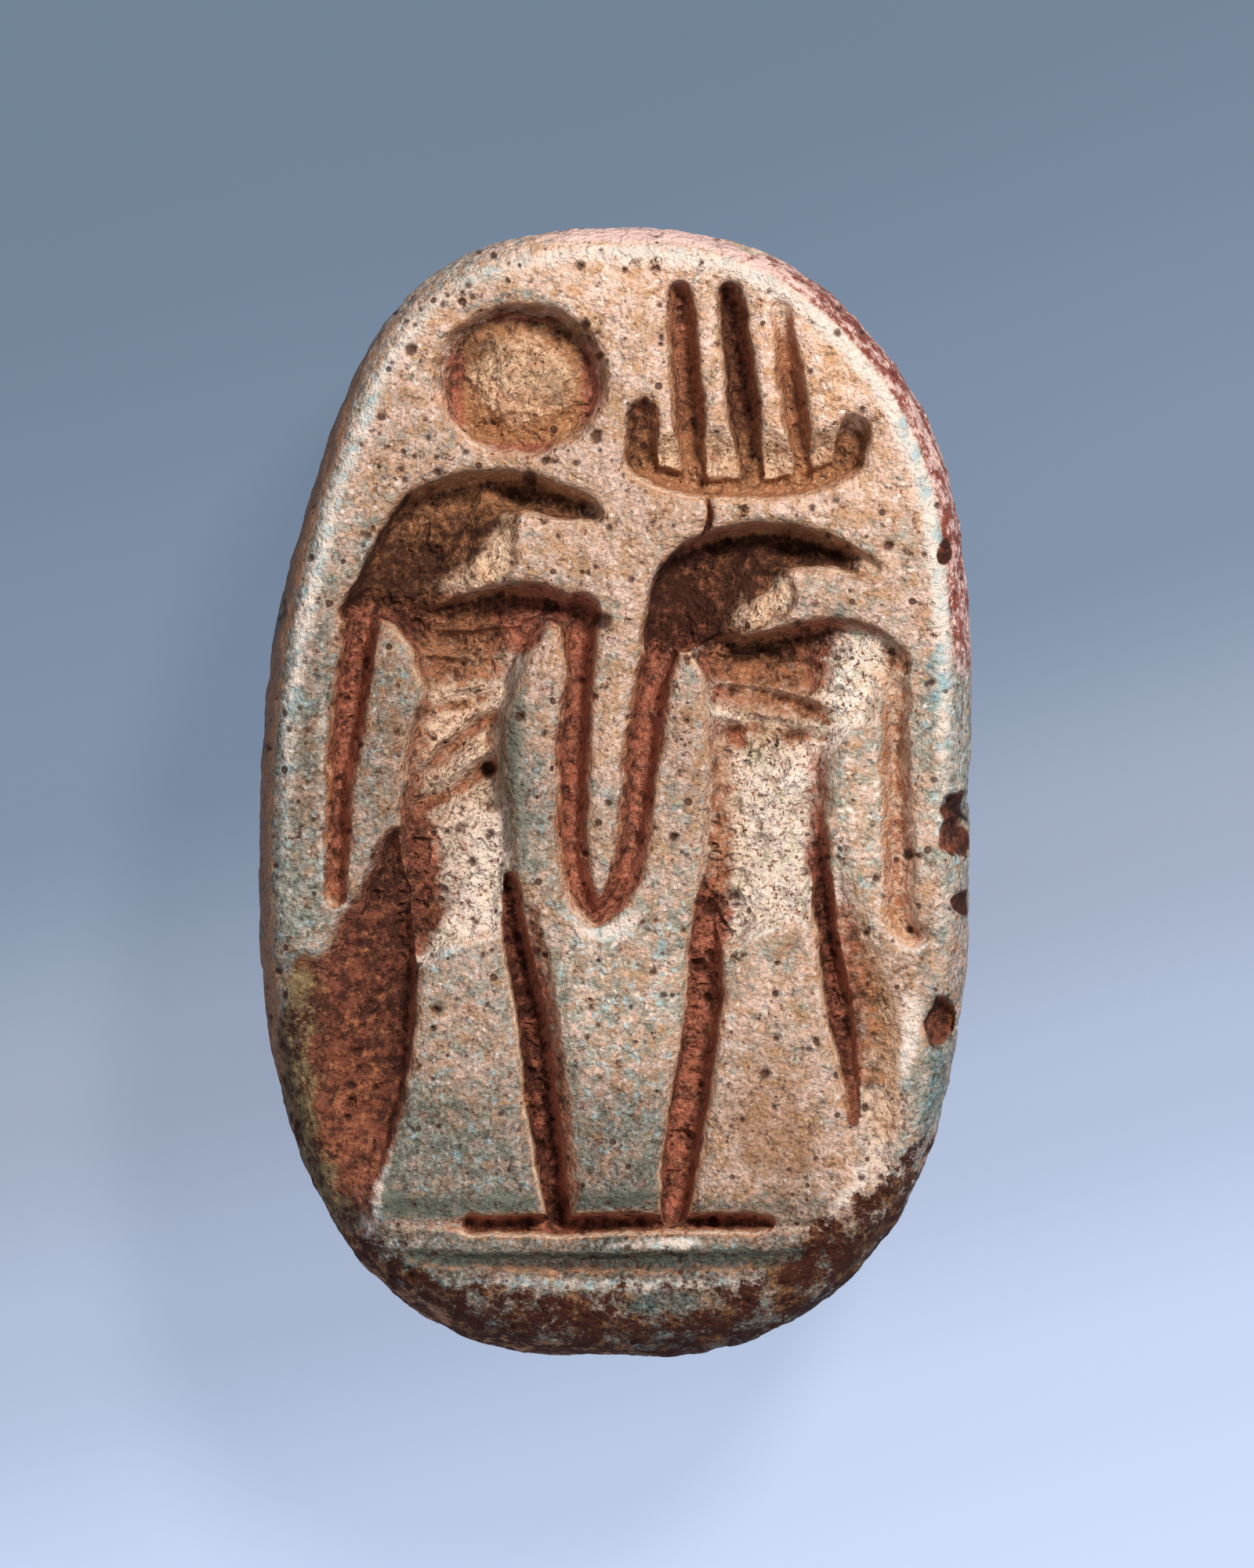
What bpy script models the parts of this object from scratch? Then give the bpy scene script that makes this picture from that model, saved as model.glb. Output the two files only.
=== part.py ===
"""Stamp seal amulet: an oval, domed seal with two standing falcon-headed figures sunk
in its flat face, and a string hole through its length.

It lies on its back with the carved face up. X runs across the face, Y up the design
and Z out of the face. The origin is on the floor, under the middle of the seal.
Sizes below are in millimetres and the meshes are written in metres.
"""
import math

import bmesh
import bpy
from mathutils import Matrix

MM = 0.001

# Driving dimensions of the seal
LENGTH = 16.0
WIDTH = 10.09
HEIGHT = 6.2
WIDEST_Y = -0.7             # the outline is widest a little below the middle
SQUARENESS = 2.6            # superellipse exponent of the outline: 2 is an ellipse
LEAN = 0.26                 # the upper part leans this far towards +X
LEAN_Y = 4.8
LEAN_REACH_UP = 2.0         # the lean dies out over this distance above and below
LEAN_REACH_DOWN = 2.8

# Section of the body, from the floor up
FLAT_SHARE = 0.25           # the resting flat, as a share of the outline
DOME_TOP = 3.9              # the domed back ends here and the upright side starts
RIM_START = 5.1             # the side ends here and the rounded rim starts
RIM_SIDE = 0.5              # how far the face edge lies inside the outline
RIM_TOP = 0.4
RIM_FOOT = 0.95

# String hole, running the length of the seal
HOLE_DIAMETER = 1.4
HOLE_HEIGHT = 3.1

# Facets
OUTLINE_STEPS = 72
DOME_STEPS = 8
SIDE_STEPS = 2
RIM_STEPS = 4
HOLE_SIDES = 20
CURVE_STEPS = 3             # facets between two points of a curved outline
CAP_STEPS = 3               # facets on a quarter of a stroke's round end
DISC_STEPS = 28

# Carving. A path is a list of x, y, half width; an outline is a list of x, y.
# depth is taken at the middle of the cut, and fall is how much deeper it gets
# for each millimetre along X and along Y.
DRAFT = 0.1                 # how far a cut narrows from the face to its floor
CUTTER_RISE = 0.15          # a cutter starts this far above the face

DISC = {
    "centre": (-1.28, 5.78),
    "radius": 1.17,
    "squash": 0.94,
    "ring_radius": 0.86,
    "ring_depth": 0.62,
    "boss_radius": 0.62,
    "boss_depth": 0.36,
}

# A row of upright strokes standing in a shallow trough, beside the disc
ROW = {
    "strokes": (            # x and y at the top, x and y at the foot, half width, depth
        (0.38, 5.2, 0.37, 4.62, 0.21, 0.5),
        (0.93, 6.95, 1.15, 4.35, 0.2, 0.7),
        (1.62, 6.95, 1.95, 4.35, 0.22, 0.75),
        (2.37, 6.7, 2.66, 4.4, 0.18, 0.6),
        (3.33, 5.2, 3.27, 4.66, 0.21, 0.5),
    ),
    "trough": ((0.36, 4.58, 0.2), (1.0, 4.37, 0.23), (1.9, 4.32, 0.23),
               (2.7, 4.4, 0.22), (3.28, 4.6, 0.2)),
    "trough_depth": 0.55,
    "top_share": 0.85,      # how much narrower a stroke is at its top
}

LEFT_FIGURE = {
    "head": {
        "crown": ((-3.84, 2.45), (-3.6, 2.98), (-3.2, 3.55), (-2.9, 4.1), (-2.4, 4.4),
                  (-1.75, 4.5), (-1.1, 4.42), (-0.62, 4.2), (-0.4, 3.98)),
        "throat": ((-0.5, 3.8), (-1.28, 3.9), (-1.4, 3.5), (-1.5, 3.05), (-2.1, 2.7),
                   (-2.9, 2.5), (-3.4, 2.3)),
        "depth": 0.75,
        "fall": (-0.06, 0.14),
    },
    "shoulders": ((-3.0, 2.55, 0.2), (-2.2, 2.5, 0.3), (-1.4, 2.66, 0.26),
                  (-0.85, 2.62, 0.17), (-0.46, 2.4, 0.15)),
    "shoulder_depth": 0.6,
    "trunk": ((-2.92, 2.45), (-2.2, 2.65), (-1.2, 2.5), (-1.36, 1.9), (-1.58, 1.3),
              (-1.58, 0.3), (-1.5, -0.6), (-1.55, -1.4), (-1.66, -1.95), (-2.2, -2.12),
              (-2.8, -2.38), (-2.98, -1.4), (-2.97, -0.2), (-2.84, 1.0), (-2.72, 1.7)),
    "trunk_depth": 0.55,
    "trunk_fall": (-0.04, 0.07),
    "folds": (              # cuts across the trunk: from x, y to x, y
        ((-2.75, 2.2), (-1.75, 2.15)),
        ((-2.45, 1.8), (-1.65, 1.72)),
        ((-2.75, 0.4), (-1.75, 1.0)),
        ((-2.85, -0.1), (-1.95, 0.35)),
    ),
    "arms": (
        ((-3.6, 2.75, 0.25), (-3.65, 2.0, 0.22), (-3.75, 1.0, 0.22), (-3.85, 0.0, 0.15),
         (-3.89, -1.4, 0.12)),
        ((-0.45, 2.25, 0.18), (-0.51, 1.5, 0.2), (-0.57, 0.7, 0.21), (-0.58, -0.6, 0.18),
         (-0.48, -1.3, 0.17), (-0.3, -1.74, 0.13)),
    ),
    "arm_depth": 0.62,
    "leg": ((-1.48, -1.5, 0.14), (-1.38, -2.0, 0.18), (-1.13, -3.2, 0.25),
            (-0.98, -4.3, 0.25), (-0.74, -5.95, 0.18)),
    "leg_depth": 0.68,
}

RIGHT_FIGURE = {
    "head": {
        "crown": ((0.42, 2.05), (0.47, 2.6), (0.62, 3.12), (0.95, 3.52), (1.45, 3.74),
                  (2.0, 3.8), (2.7, 3.7), (3.4, 3.46), (3.8, 3.2)),
        "throat": ((3.7, 3.0), (2.95, 3.13), (2.45, 3.08), (2.0, 2.72), (1.6, 2.4),
                   (1.1, 2.1), (0.8, 1.95)),
        "depth": 0.75,
        "fall": (-0.06, 0.14),
    },
    "shoulders": ((1.4, 2.1, 0.22), (2.1, 2.2, 0.28), (2.9, 2.2, 0.25),
                  (3.5, 2.05, 0.22), (3.85, 1.75, 0.17)),
    "shoulder_depth": 0.5,
    "trunk": ((1.36, 1.9), (2.2, 2.1), (3.5, 1.95), (3.05, 1.2), (2.98, 0.5),
              (2.95, -0.4), (2.8, -1.2), (2.62, -1.85), (2.2, -1.98), (1.76, -2.12),
              (1.35, -2.1), (1.15, -1.4), (1.27, -0.5), (1.35, 0.8)),
    "trunk_depth": 0.5,
    "trunk_fall": (-0.04, 0.08),
    "folds": (
        ((1.5, 1.75), (2.0, 1.7)),
        ((1.6, 1.45), (2.8, 1.22)),
        ((1.9, 0.9), (2.6, 0.75)),
    ),
    "arms": (
        ((0.6, 2.15, 0.2), (0.53, 1.5, 0.22), (0.46, 1.0, 0.23), (0.34, 0.1, 0.22),
         (0.2, -1.0, 0.18), (0.02, -1.48, 0.17), (-0.28, -1.78, 0.14)),
        ((3.88, 1.75, 0.15), (3.92, 1.0, 0.19), (3.93, -0.2, 0.19), (3.94, -1.3, 0.18),
         (4.02, -1.85, 0.17), (4.28, -2.08, 0.13)),
    ),
    "arm_depth": 0.6,
    "leg": ((1.28, -1.9, 0.2), (1.22, -3.0, 0.25), (1.1, -4.0, 0.26),
            (0.94, -5.1, 0.25), (0.82, -5.95, 0.18)),
    "leg_depth": 0.65,
}

# The right figure's far leg, whose foot runs out into the face
FAR_LEG = ((2.84, -1.0, 0.12), (2.93, -1.8, 0.17), (3.1, -2.6, 0.22),
           (3.24, -3.4, 0.22), (3.34, -4.3, 0.14))
FAR_LEG_DEPTH = 0.5

# The left figure's far leg, lost in a hollow that runs down and out over the rim
HOLLOW = ((-3.2, -0.6), (-2.98, -0.66), (-2.86, -1.3), (-2.82, -2.4), (-2.88, -3.2),
          (-2.96, -4.3), (-3.12, -4.9), (-3.32, -5.8), (-3.55, -6.3), (-4.3, -6.1),
          (-5.0, -4.6), (-5.15, -3.2), (-4.7, -2.4), (-4.1, -2.3), (-3.7, -1.9),
          (-3.35, -1.1))
HOLLOW_DEPTH = 0.34
HOLLOW_FALL = (0.16, 0.02)

# The ground line under the feet and the fainter line below it
GROUND = ((-2.0, -6.13, 0.13), (2.15, -6.13, 0.13))
GROUND_DEPTH = 0.5
LOWER_LINE = ((-2.55, -6.62, 0.14), (0.0, -6.66, 0.16), (2.5, -6.62, 0.14))
LOWER_LINE_DEPTH = 0.22

FOLD_HALF_WIDTH = 0.15
FOLD_DEPTH = 0.86


def outline_point(angle, half_width, half_top, half_foot):
    """A point of the egg-shaped outline at an angle from +X."""
    power = 2 / SQUARENESS
    across = math.copysign(abs(math.cos(angle)) ** power, math.cos(angle))
    along = math.copysign(abs(math.sin(angle)) ** power, math.sin(angle))
    y = WIDEST_Y + along * (half_top if along > 0 else half_foot)
    reach = LEAN_REACH_UP if y > LEAN_Y else LEAN_REACH_DOWN
    x = across * half_width + LEAN * math.exp(-((y - LEAN_Y) / reach) ** 2)
    return x, y


def body_levels():
    """The rings of the body from the floor up: height, share of the outline, rim inset."""
    levels = []
    flat_angle = math.asin(FLAT_SHARE)
    for step in range(DOME_STEPS + 1):
        angle = flat_angle + (math.pi / 2 - flat_angle) * step / DOME_STEPS
        rise = 1 - math.cos(angle) / math.cos(flat_angle)
        levels.append((DOME_TOP * rise, math.sin(angle), 0.0))
    for step in range(1, SIDE_STEPS + 1):
        height = DOME_TOP + (RIM_START - DOME_TOP) * step / SIDE_STEPS
        levels.append((height, 1.0, 0.0))
    for step in range(1, RIM_STEPS + 1):
        angle = math.pi / 2 * step / RIM_STEPS
        height = RIM_START + (HEIGHT - RIM_START) * math.sin(angle)
        levels.append((height, 1.0, 1 - math.cos(angle)))
    return levels


def join_rings(bm, rings):
    """Walls between stacked rings of vertices, and a flat face on both end rings."""
    for low, high in zip(rings, rings[1:]):
        for index in range(len(low)):
            after = (index + 1) % len(low)
            bm.faces.new((low[index], low[after], high[after], high[index]))
    bm.faces.new(rings[0])
    bm.faces.new(rings[-1])


def finish_mesh(bm, name):
    """Writes the bmesh out as an object with its faces pointing out."""
    bmesh.ops.recalc_face_normals(bm, faces=bm.faces)
    mesh = bpy.data.meshes.new(name)
    bm.to_mesh(mesh)
    bm.free()
    thing = bpy.data.objects.new(name, mesh)
    bpy.context.scene.collection.objects.link(thing)
    return thing


def make_body():
    """The uncarved seal, from stacked rings with a flat face and a small resting flat."""
    half_top = LENGTH / 2 - WIDEST_Y
    half_foot = LENGTH / 2 + WIDEST_Y
    bm = bmesh.new()
    rings = []
    for height, share, inset in body_levels():
        ring = []
        for step in range(OUTLINE_STEPS):
            x, y = outline_point(
                2 * math.pi * step / OUTLINE_STEPS,
                WIDTH / 2 * share - RIM_SIDE * inset,
                half_top * share - RIM_TOP * inset,
                half_foot * share - RIM_FOOT * inset,
            )
            ring.append(bm.verts.new((x * MM, y * MM, height * MM)))
        rings.append(ring)
    join_rings(bm, rings)
    return finish_mesh(bm, "seal")


def smooth(points, closed=False):
    """A Catmull-Rom curve through the points."""
    count = len(points)
    curve = []
    for span in range(count if closed else count - 1):
        near = []
        for index in range(span - 1, span + 3):
            near.append(points[index % count if closed else min(max(index, 0), count - 1)])
        for step in range(CURVE_STEPS):
            t = step / CURVE_STEPS
            weights = (
                -0.5 * t + t * t - 0.5 * t ** 3,
                1 - 2.5 * t * t + 1.5 * t ** 3,
                0.5 * t + 2 * t * t - 1.5 * t ** 3,
                -0.5 * t * t + 0.5 * t ** 3,
            )
            curve.append(tuple(
                sum(weight * point[axis] for weight, point in zip(weights, near))
                for axis in range(len(points[0]))
            ))
    if not closed:
        curve.append(tuple(points[-1]))
    return curve


def round_end(x, y, half, heading):
    """The points of a stroke's round end, from its left side to its right side."""
    turns = [math.pi / 2 * (1 - step / CAP_STEPS) for step in range(1, 2 * CAP_STEPS)]
    return [(x + half * math.cos(heading + turn), y + half * math.sin(heading + turn))
            for turn in turns]


def stroke_outline(path):
    """The outline of a round-ended stroke along a path."""
    path = smooth(path)
    left, right, headings = [], [], []
    for index, (x, y, half) in enumerate(path):
        before = path[max(index - 1, 0)]
        after = path[min(index + 1, len(path) - 1)]
        heading = math.atan2(after[1] - before[1], after[0] - before[0])
        headings.append(heading)
        left.append((x - half * math.sin(heading), y + half * math.cos(heading)))
        right.append((x + half * math.sin(heading), y - half * math.cos(heading)))
    far_end = round_end(*path[-1], headings[-1])
    near_end = round_end(*path[0], headings[0] + math.pi)
    return left + far_end + right[::-1] + near_end


def offset_outline(outline, distance):
    """The outline moved outwards by a distance, or inwards where it is negative."""
    pairs = list(zip(outline, outline[1:] + outline[:1]))
    turn = math.copysign(1, sum(a[0] * b[1] - b[0] * a[1] for a, b in pairs))
    normals = []
    for start, end in pairs:
        run = math.hypot(end[0] - start[0], end[1] - start[1])
        normals.append((turn * (end[1] - start[1]) / run, -turn * (end[0] - start[0]) / run))
    moved = []
    for index, (x, y) in enumerate(outline):
        normal_x = normals[index - 1][0] + normals[index][0]
        normal_y = normals[index - 1][1] + normals[index][1]
        size = math.hypot(normal_x, normal_y)
        moved.append((x + distance * normal_x / size, y + distance * normal_y / size))
    return moved


def make_cutter(name, outline, depth, fall=(0.0, 0.0)):
    """A cutter with leaning walls and a flat floor, which may slope."""
    middle = [sum(point[axis] for point in outline) / len(outline) for axis in (0, 1)]
    bm = bmesh.new()
    floor = []
    for x, y in offset_outline(outline, -DRAFT):
        drop = depth + fall[0] * (x - middle[0]) + fall[1] * (y - middle[1])
        floor.append(bm.verts.new((x * MM, y * MM, (HEIGHT - drop) * MM)))
    top = []
    for x, y in offset_outline(outline, DRAFT * CUTTER_RISE / depth):
        top.append(bm.verts.new((x * MM, y * MM, (HEIGHT + CUTTER_RISE) * MM)))
    join_rings(bm, [floor, top])
    return finish_mesh(bm, "cut_" + name)


def make_stroke(name, path, depth, fall=(0.0, 0.0)):
    """A cutter for a round-ended stroke."""
    return make_cutter(name, stroke_outline(path), depth, fall)


def make_disc():
    """The sun disc: a dished round hollow with a low boss left in its middle."""
    profile = (
        (0.0, DISC["boss_depth"]),
        (DISC["boss_radius"] * 0.6, DISC["boss_depth"] + 0.03),
        (DISC["ring_radius"], DISC["ring_depth"]),
        (DISC["radius"] - 0.06, DISC["ring_depth"] * 0.45),
        (DISC["radius"], 0.0),
        (DISC["radius"] + 0.04, -CUTTER_RISE),
        (0.0, -CUTTER_RISE),
    )
    bm = bmesh.new()
    verts = [bm.verts.new((radius * MM, 0, -depth * MM)) for radius, depth in profile]
    edges = [bm.edges.new(pair) for pair in zip(verts, verts[1:])]
    bmesh.ops.spin(bm, geom=verts + edges, cent=(0, 0, 0), axis=(0, 0, 1),
                   angle=2 * math.pi, steps=DISC_STEPS, use_merge=True)
    bmesh.ops.remove_doubles(bm, verts=bm.verts, dist=1e-6)
    bmesh.ops.scale(bm, verts=bm.verts, vec=(1, DISC["squash"], 1))
    x, y = DISC["centre"]
    bmesh.ops.translate(bm, verts=bm.verts, vec=(x * MM, y * MM, HEIGHT * MM))
    return finish_mesh(bm, "cut_disc")


def make_row():
    """The row of upright strokes and the trough that they stand in."""
    cutters = []
    for index, stroke in enumerate(ROW["strokes"], start=1):
        top_x, top_y, foot_x, foot_y, half, depth = stroke
        path = ((top_x, top_y, half * ROW["top_share"]), (foot_x, foot_y, half))
        cutters.append(make_stroke("row_stroke_%d" % index, path, depth))
    cutters.append(make_stroke("row_trough", ROW["trough"], ROW["trough_depth"]))
    return cutters


def make_figure(name, figure):
    """One falcon-headed figure: head, shoulders, trunk with its folds, arms and near leg."""
    head = figure["head"]
    outline = smooth(head["crown"]) + smooth(head["throat"])
    trunk = smooth(figure["trunk"], closed=True)
    cutters = [
        make_cutter(name + "_head", outline, head["depth"], head["fall"]),
        make_stroke(name + "_shoulders", figure["shoulders"], figure["shoulder_depth"]),
        make_cutter(name + "_trunk", trunk, figure["trunk_depth"], figure["trunk_fall"]),
        make_stroke(name + "_leg", figure["leg"], figure["leg_depth"]),
    ]
    for side, path in zip(("left", "right"), figure["arms"]):
        cutters.append(make_stroke("%s_%s_arm" % (name, side), path, figure["arm_depth"]))
    for index, (start, end) in enumerate(figure["folds"], start=1):
        path = (start + (FOLD_HALF_WIDTH,), end + (FOLD_HALF_WIDTH,))
        cutters.append(make_stroke("%s_fold_%d" % (name, index), path, FOLD_DEPTH))
    return cutters


def make_lines():
    """The far legs, the hollow at the lower left and the lines under the feet."""
    return [
        make_stroke("far_leg", FAR_LEG, FAR_LEG_DEPTH),
        make_cutter("hollow", smooth(HOLLOW, closed=True), HOLLOW_DEPTH, HOLLOW_FALL),
        make_stroke("ground_line", GROUND, GROUND_DEPTH),
        make_stroke("lower_line", LOWER_LINE, LOWER_LINE_DEPTH),
    ]


def make_string_hole():
    """The string hole, through the body from end to end."""
    bm = bmesh.new()
    radius = HOLE_DIAMETER / 2 * MM
    bmesh.ops.create_cone(
        bm, cap_ends=True, segments=HOLE_SIDES, depth=(LENGTH + 2) * MM,
        radius1=radius, radius2=radius,
        matrix=Matrix.Translation((0, 0, HOLE_HEIGHT * MM)) @ Matrix.Rotation(math.pi / 2, 4, "X"),
    )
    return finish_mesh(bm, "cut_string_hole")


def carve(body, cutters):
    """Subtracts each cutter from the body in turn."""
    for cutter in cutters:
        cutter.hide_render = True
        cutter.display_type = "WIRE"
        cut = body.modifiers.new(cutter.name, "BOOLEAN")
        cut.operation = "DIFFERENCE"
        cut.object = cutter


def glazed_steatite():
    """Buff steatite with the remains of a blue-green glaze."""
    material = bpy.data.materials.new("glazed_steatite")
    material.use_nodes = True
    shader = material.node_tree.nodes["Principled BSDF"]
    shader.inputs["Base Color"].default_value = (0.42, 0.33, 0.22, 1.0)
    shader.inputs["Roughness"].default_value = 0.7
    shader.inputs["Metallic"].default_value = 0.0
    return material


def clear_scene():
    """Removes the objects that the scene starts with."""
    for thing in list(bpy.data.objects):
        bpy.data.objects.remove(thing)


def main():
    clear_scene()
    seal = make_body()
    seal.data.materials.append(glazed_steatite())
    cutters = [make_string_hole(), make_disc()] + make_row()
    cutters += make_figure("left_figure", LEFT_FIGURE)
    cutters += make_figure("right_figure", RIGHT_FIGURE)
    cutters += make_lines()
    carve(seal, cutters)


main()
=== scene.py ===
import math

import bmesh
import bpy
import numpy as np
from mathutils import Matrix, Vector, noise


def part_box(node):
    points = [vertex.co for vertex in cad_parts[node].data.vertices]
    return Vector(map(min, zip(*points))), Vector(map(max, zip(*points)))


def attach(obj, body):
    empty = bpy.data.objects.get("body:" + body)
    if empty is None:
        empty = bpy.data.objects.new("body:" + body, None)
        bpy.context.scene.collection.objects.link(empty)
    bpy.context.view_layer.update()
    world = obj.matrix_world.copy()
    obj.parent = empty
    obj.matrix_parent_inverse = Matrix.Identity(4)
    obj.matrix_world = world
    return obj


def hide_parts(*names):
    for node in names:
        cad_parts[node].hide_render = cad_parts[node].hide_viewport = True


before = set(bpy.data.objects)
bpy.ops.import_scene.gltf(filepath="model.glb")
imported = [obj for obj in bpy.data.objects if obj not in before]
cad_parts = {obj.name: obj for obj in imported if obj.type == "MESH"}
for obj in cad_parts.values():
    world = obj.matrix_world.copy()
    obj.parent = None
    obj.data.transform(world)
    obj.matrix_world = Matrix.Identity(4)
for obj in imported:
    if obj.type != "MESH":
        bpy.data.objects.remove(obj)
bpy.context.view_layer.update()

mm = 0.001
sealLow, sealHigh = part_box("seal")

# the seal's form, in millimetres; its overall size comes from the frame
seal = {
    "width": (sealHigh.x - sealLow.x) / mm,
    "length": (sealHigh.y - sealLow.y) / mm,
    "height": (sealHigh.z - sealLow.z) / mm,
    "widestY": -0.7,
    "squareness": 2.6,          # superellipse exponent of the outline
    "lean": 0.26,               # the upper part leans towards +X
    "leanY": 4.8,
    "leanReachUp": 2.0,
    "leanReachDown": 2.8,
    "domeTop": 3.9,
    "flatShare": 0.25,
    "rimStart": 5.1,
    "rimSide": 0.5,             # how far the face edge lies inside the outline
    "rimTop": 0.4,
    "rimFoot": 0.95,
    "skin": 0.02,               # the finished surface stays this far inside the solid
}

stringHole = {
    "radius": 0.7,
    "height": 3.1,
    "mouthRadius": 0.98,        # threading has worn the mouths wide
    "mouthLength": 0.9,
    "sides": 48,
}

meshDetail = {
    "across": 430,              # cells of the face grid, before thinning
    "along": 690,
    "faceShare": 0.84,          # share of the grid that lies on the flat face
    "rimShare": 0.13,           # share that turns over the rim; the rest is the upright side
    "coarser": 3,               # the back's grid is this many times coarser
    "domeShare": 0.93,          # share of the back's grid that lies on the dome
    "backRise": 0.07,           # the rest of it, which climbs the side
    "seamGap": 0.04,            # mm between the two grids where they are joined
    "triangles": 188000,
}

rimWear = {
    "depth": 0.075,             # mm taken off at most
    "lumps": 1.3,               # lumps to a mm
    "belowFace": 0.12,          # mm below the face where it starts
    "fade": 0.5,                # mm over which it grows to its full depth
}

# the relief map: one depth for every point of the face, drawn stroke by stroke
reliefMap = {
    "cell": 0.0125,             # mm between samples
    "reachX": 5.3,
    "reachY": 8.25,
}
xs = np.arange(-reliefMap["reachX"], reliefMap["reachX"], reliefMap["cell"])
ys = np.arange(-reliefMap["reachY"], reliefMap["reachY"], reliefMap["cell"])
mapX, mapY = np.meshgrid(xs, ys)


def smoothCurve(points, closed=False, steps=8):
    # Catmull-Rom curve through the points; works on any number of values per point
    pts = np.array(points, float)
    count = len(pts)
    out = []
    for span in range(count if closed else count - 1):
        idx = [(span + k) % count if closed else min(max(span + k, 0), count - 1) for k in (-1, 0, 1, 2)]
        a, b, c, d = pts[idx]
        for t in np.arange(steps) / steps:
            out.append(0.5 * (2 * b + (c - a) * t + (2 * a - 5 * b + 4 * c - d) * t ** 2
                              + (3 * b - a - 3 * c + d) * t ** 3))
    if not closed:
        out.append(pts[-1])
    return np.array(out)


def windowOf(points, margin):
    # the part of the relief map round some points
    low = (points[:, :2].min(0) - margin + (reliefMap["reachX"], reliefMap["reachY"])) / reliefMap["cell"]
    high = (points[:, :2].max(0) + margin + (reliefMap["reachX"], reliefMap["reachY"])) / reliefMap["cell"]
    return (slice(max(int(low[1]), 0), min(int(high[1]) + 2, len(ys))),
            slice(max(int(low[0]), 0), min(int(high[0]) + 2, len(xs))))


def insideStroke(path, window):
    # distance inside a stroke's edge (negative outside), and the path's own depth there
    x, y = mapX[window], mapY[window]
    inside = np.full(x.shape, -99.0)
    depth = np.zeros(x.shape)
    for a, b in zip(path[:-1], path[1:]):
        run = b[:2] - a[:2]
        t = np.clip(((x - a[0]) * run[0] + (y - a[1]) * run[1]) / (run @ run + 1e-12), 0, 1)
        away = np.hypot(x - a[0] - t * run[0], y - a[1] - t * run[1])
        here = a[2] + t * (b[2] - a[2]) - away
        depth = np.where(here > inside, a[3] + t * (b[3] - a[3]), depth)
        inside = np.maximum(inside, here)
    return inside, depth


def insideOutline(outline, window):
    # distance inside a closed outline, negative outside it
    x, y = mapX[window], mapY[window]
    away = np.full(x.shape, 99.0)
    odd = np.zeros(x.shape, bool)
    for a, b in zip(outline, np.roll(outline, -1, axis=0)):
        run = b - a
        t = np.clip(((x - a[0]) * run[0] + (y - a[1]) * run[1]) / (run @ run + 1e-12), 0, 1)
        away = np.minimum(away, np.hypot(x - a[0] - t * run[0], y - a[1] - t * run[1]))
        if a[1] != b[1]:
            crosses = (a[1] > y) != (b[1] > y)
            odd ^= crosses & (x < (b[0] - a[0]) * (y - a[1]) / (b[1] - a[1]) + a[0])
    return np.where(odd, away, -away)


def spread(spots, window):
    # a smooth surface through a few spots, each x, y, value
    x, y = mapX[window], mapY[window]
    total = np.zeros(x.shape)
    weight = np.zeros(x.shape)
    for sx, sy, value in spots:
        w = 1 / ((x - sx) ** 2 + (y - sy) ** 2 + 0.02) ** 1.6
        total += w * value
        weight += w
    return total / weight


def ramp(value, low, high):
    t = np.clip((value - low) / (high - low), 0, 1)
    return t * t * (3 - 2 * t)


def blur(values, size):
    # two passes of a Gaussian, size in mm
    sigma = size / reliefMap["cell"]
    reach = max(int(3 * sigma), 1)
    kernel = np.exp(-0.5 * (np.arange(-reach, reach + 1) / sigma) ** 2)
    kernel /= kernel.sum()
    out = values
    for axis in (0, 1):
        pad = [(reach, reach) if k == axis else (0, 0) for k in (0, 1)]
        padded = np.pad(out, pad, mode="edge")
        length = out.shape[axis]
        out = sum(k * np.take(padded, np.arange(i, i + length), axis=axis) for i, k in enumerate(kernel))
    return out


def unevenness(size, seed, octaves=3):
    # smooth random bumps of about this size in mm, from -1 to 1
    total = np.zeros(mapX.shape)
    for octave in range(octaves):
        step = size / 2 ** octave
        rng = np.random.default_rng(seed + octave)
        across = int(2 * reliefMap["reachX"] / step) + 3
        along = int(2 * reliefMap["reachY"] / step) + 3
        lattice = rng.uniform(-1, 1, (along, across))
        u = (xs + reliefMap["reachX"]) / step
        v = (ys + reliefMap["reachY"]) / step
        iu, iv = u.astype(int), v.astype(int)
        fu = ramp(u - iu, 0, 1)[None, :]
        fv = ramp(v - iv, 0, 1)[:, None]
        low = lattice[iv][:, iu] * (1 - fu) + lattice[iv][:, iu + 1] * fu
        high = lattice[iv + 1][:, iu] * (1 - fu) + lattice[iv + 1][:, iu + 1] * fu
        total += (low * (1 - fv) + high * fv) / 2 ** octave
    return total / 1.6


depthMap = np.zeros(mapX.shape)
earthMap = np.zeros(mapX.shape)     # brown earth lying in the cuts
creamMap = np.zeros(mapX.shape)     # pale bare stone
redMap = np.zeros(mapX.shape)       # how light and red the earth is, with painted light and shade on some walls
edgeWobble = unevenness(0.3, 11, 5) * 0.042


def cut(inside, depth, window, wall, earth, cream, red):
    # sinks one form into the face; where forms cross, the deeper one wins
    share = ramp(inside + edgeWobble[window] + wall * 0.35, 0, wall)
    stained = ramp(inside + edgeWobble[window] + wall * 0.35, 0, wall * 0.65)
    new = share * depth
    deeper = new > depthMap[window]
    depthMap[window] = np.where(deeper, new, depthMap[window])
    for values, value in ((earthMap, earth), (creamMap, cream), (redMap, red)):
        values[window] = np.where(deeper, stained * value, values[window])


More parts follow.
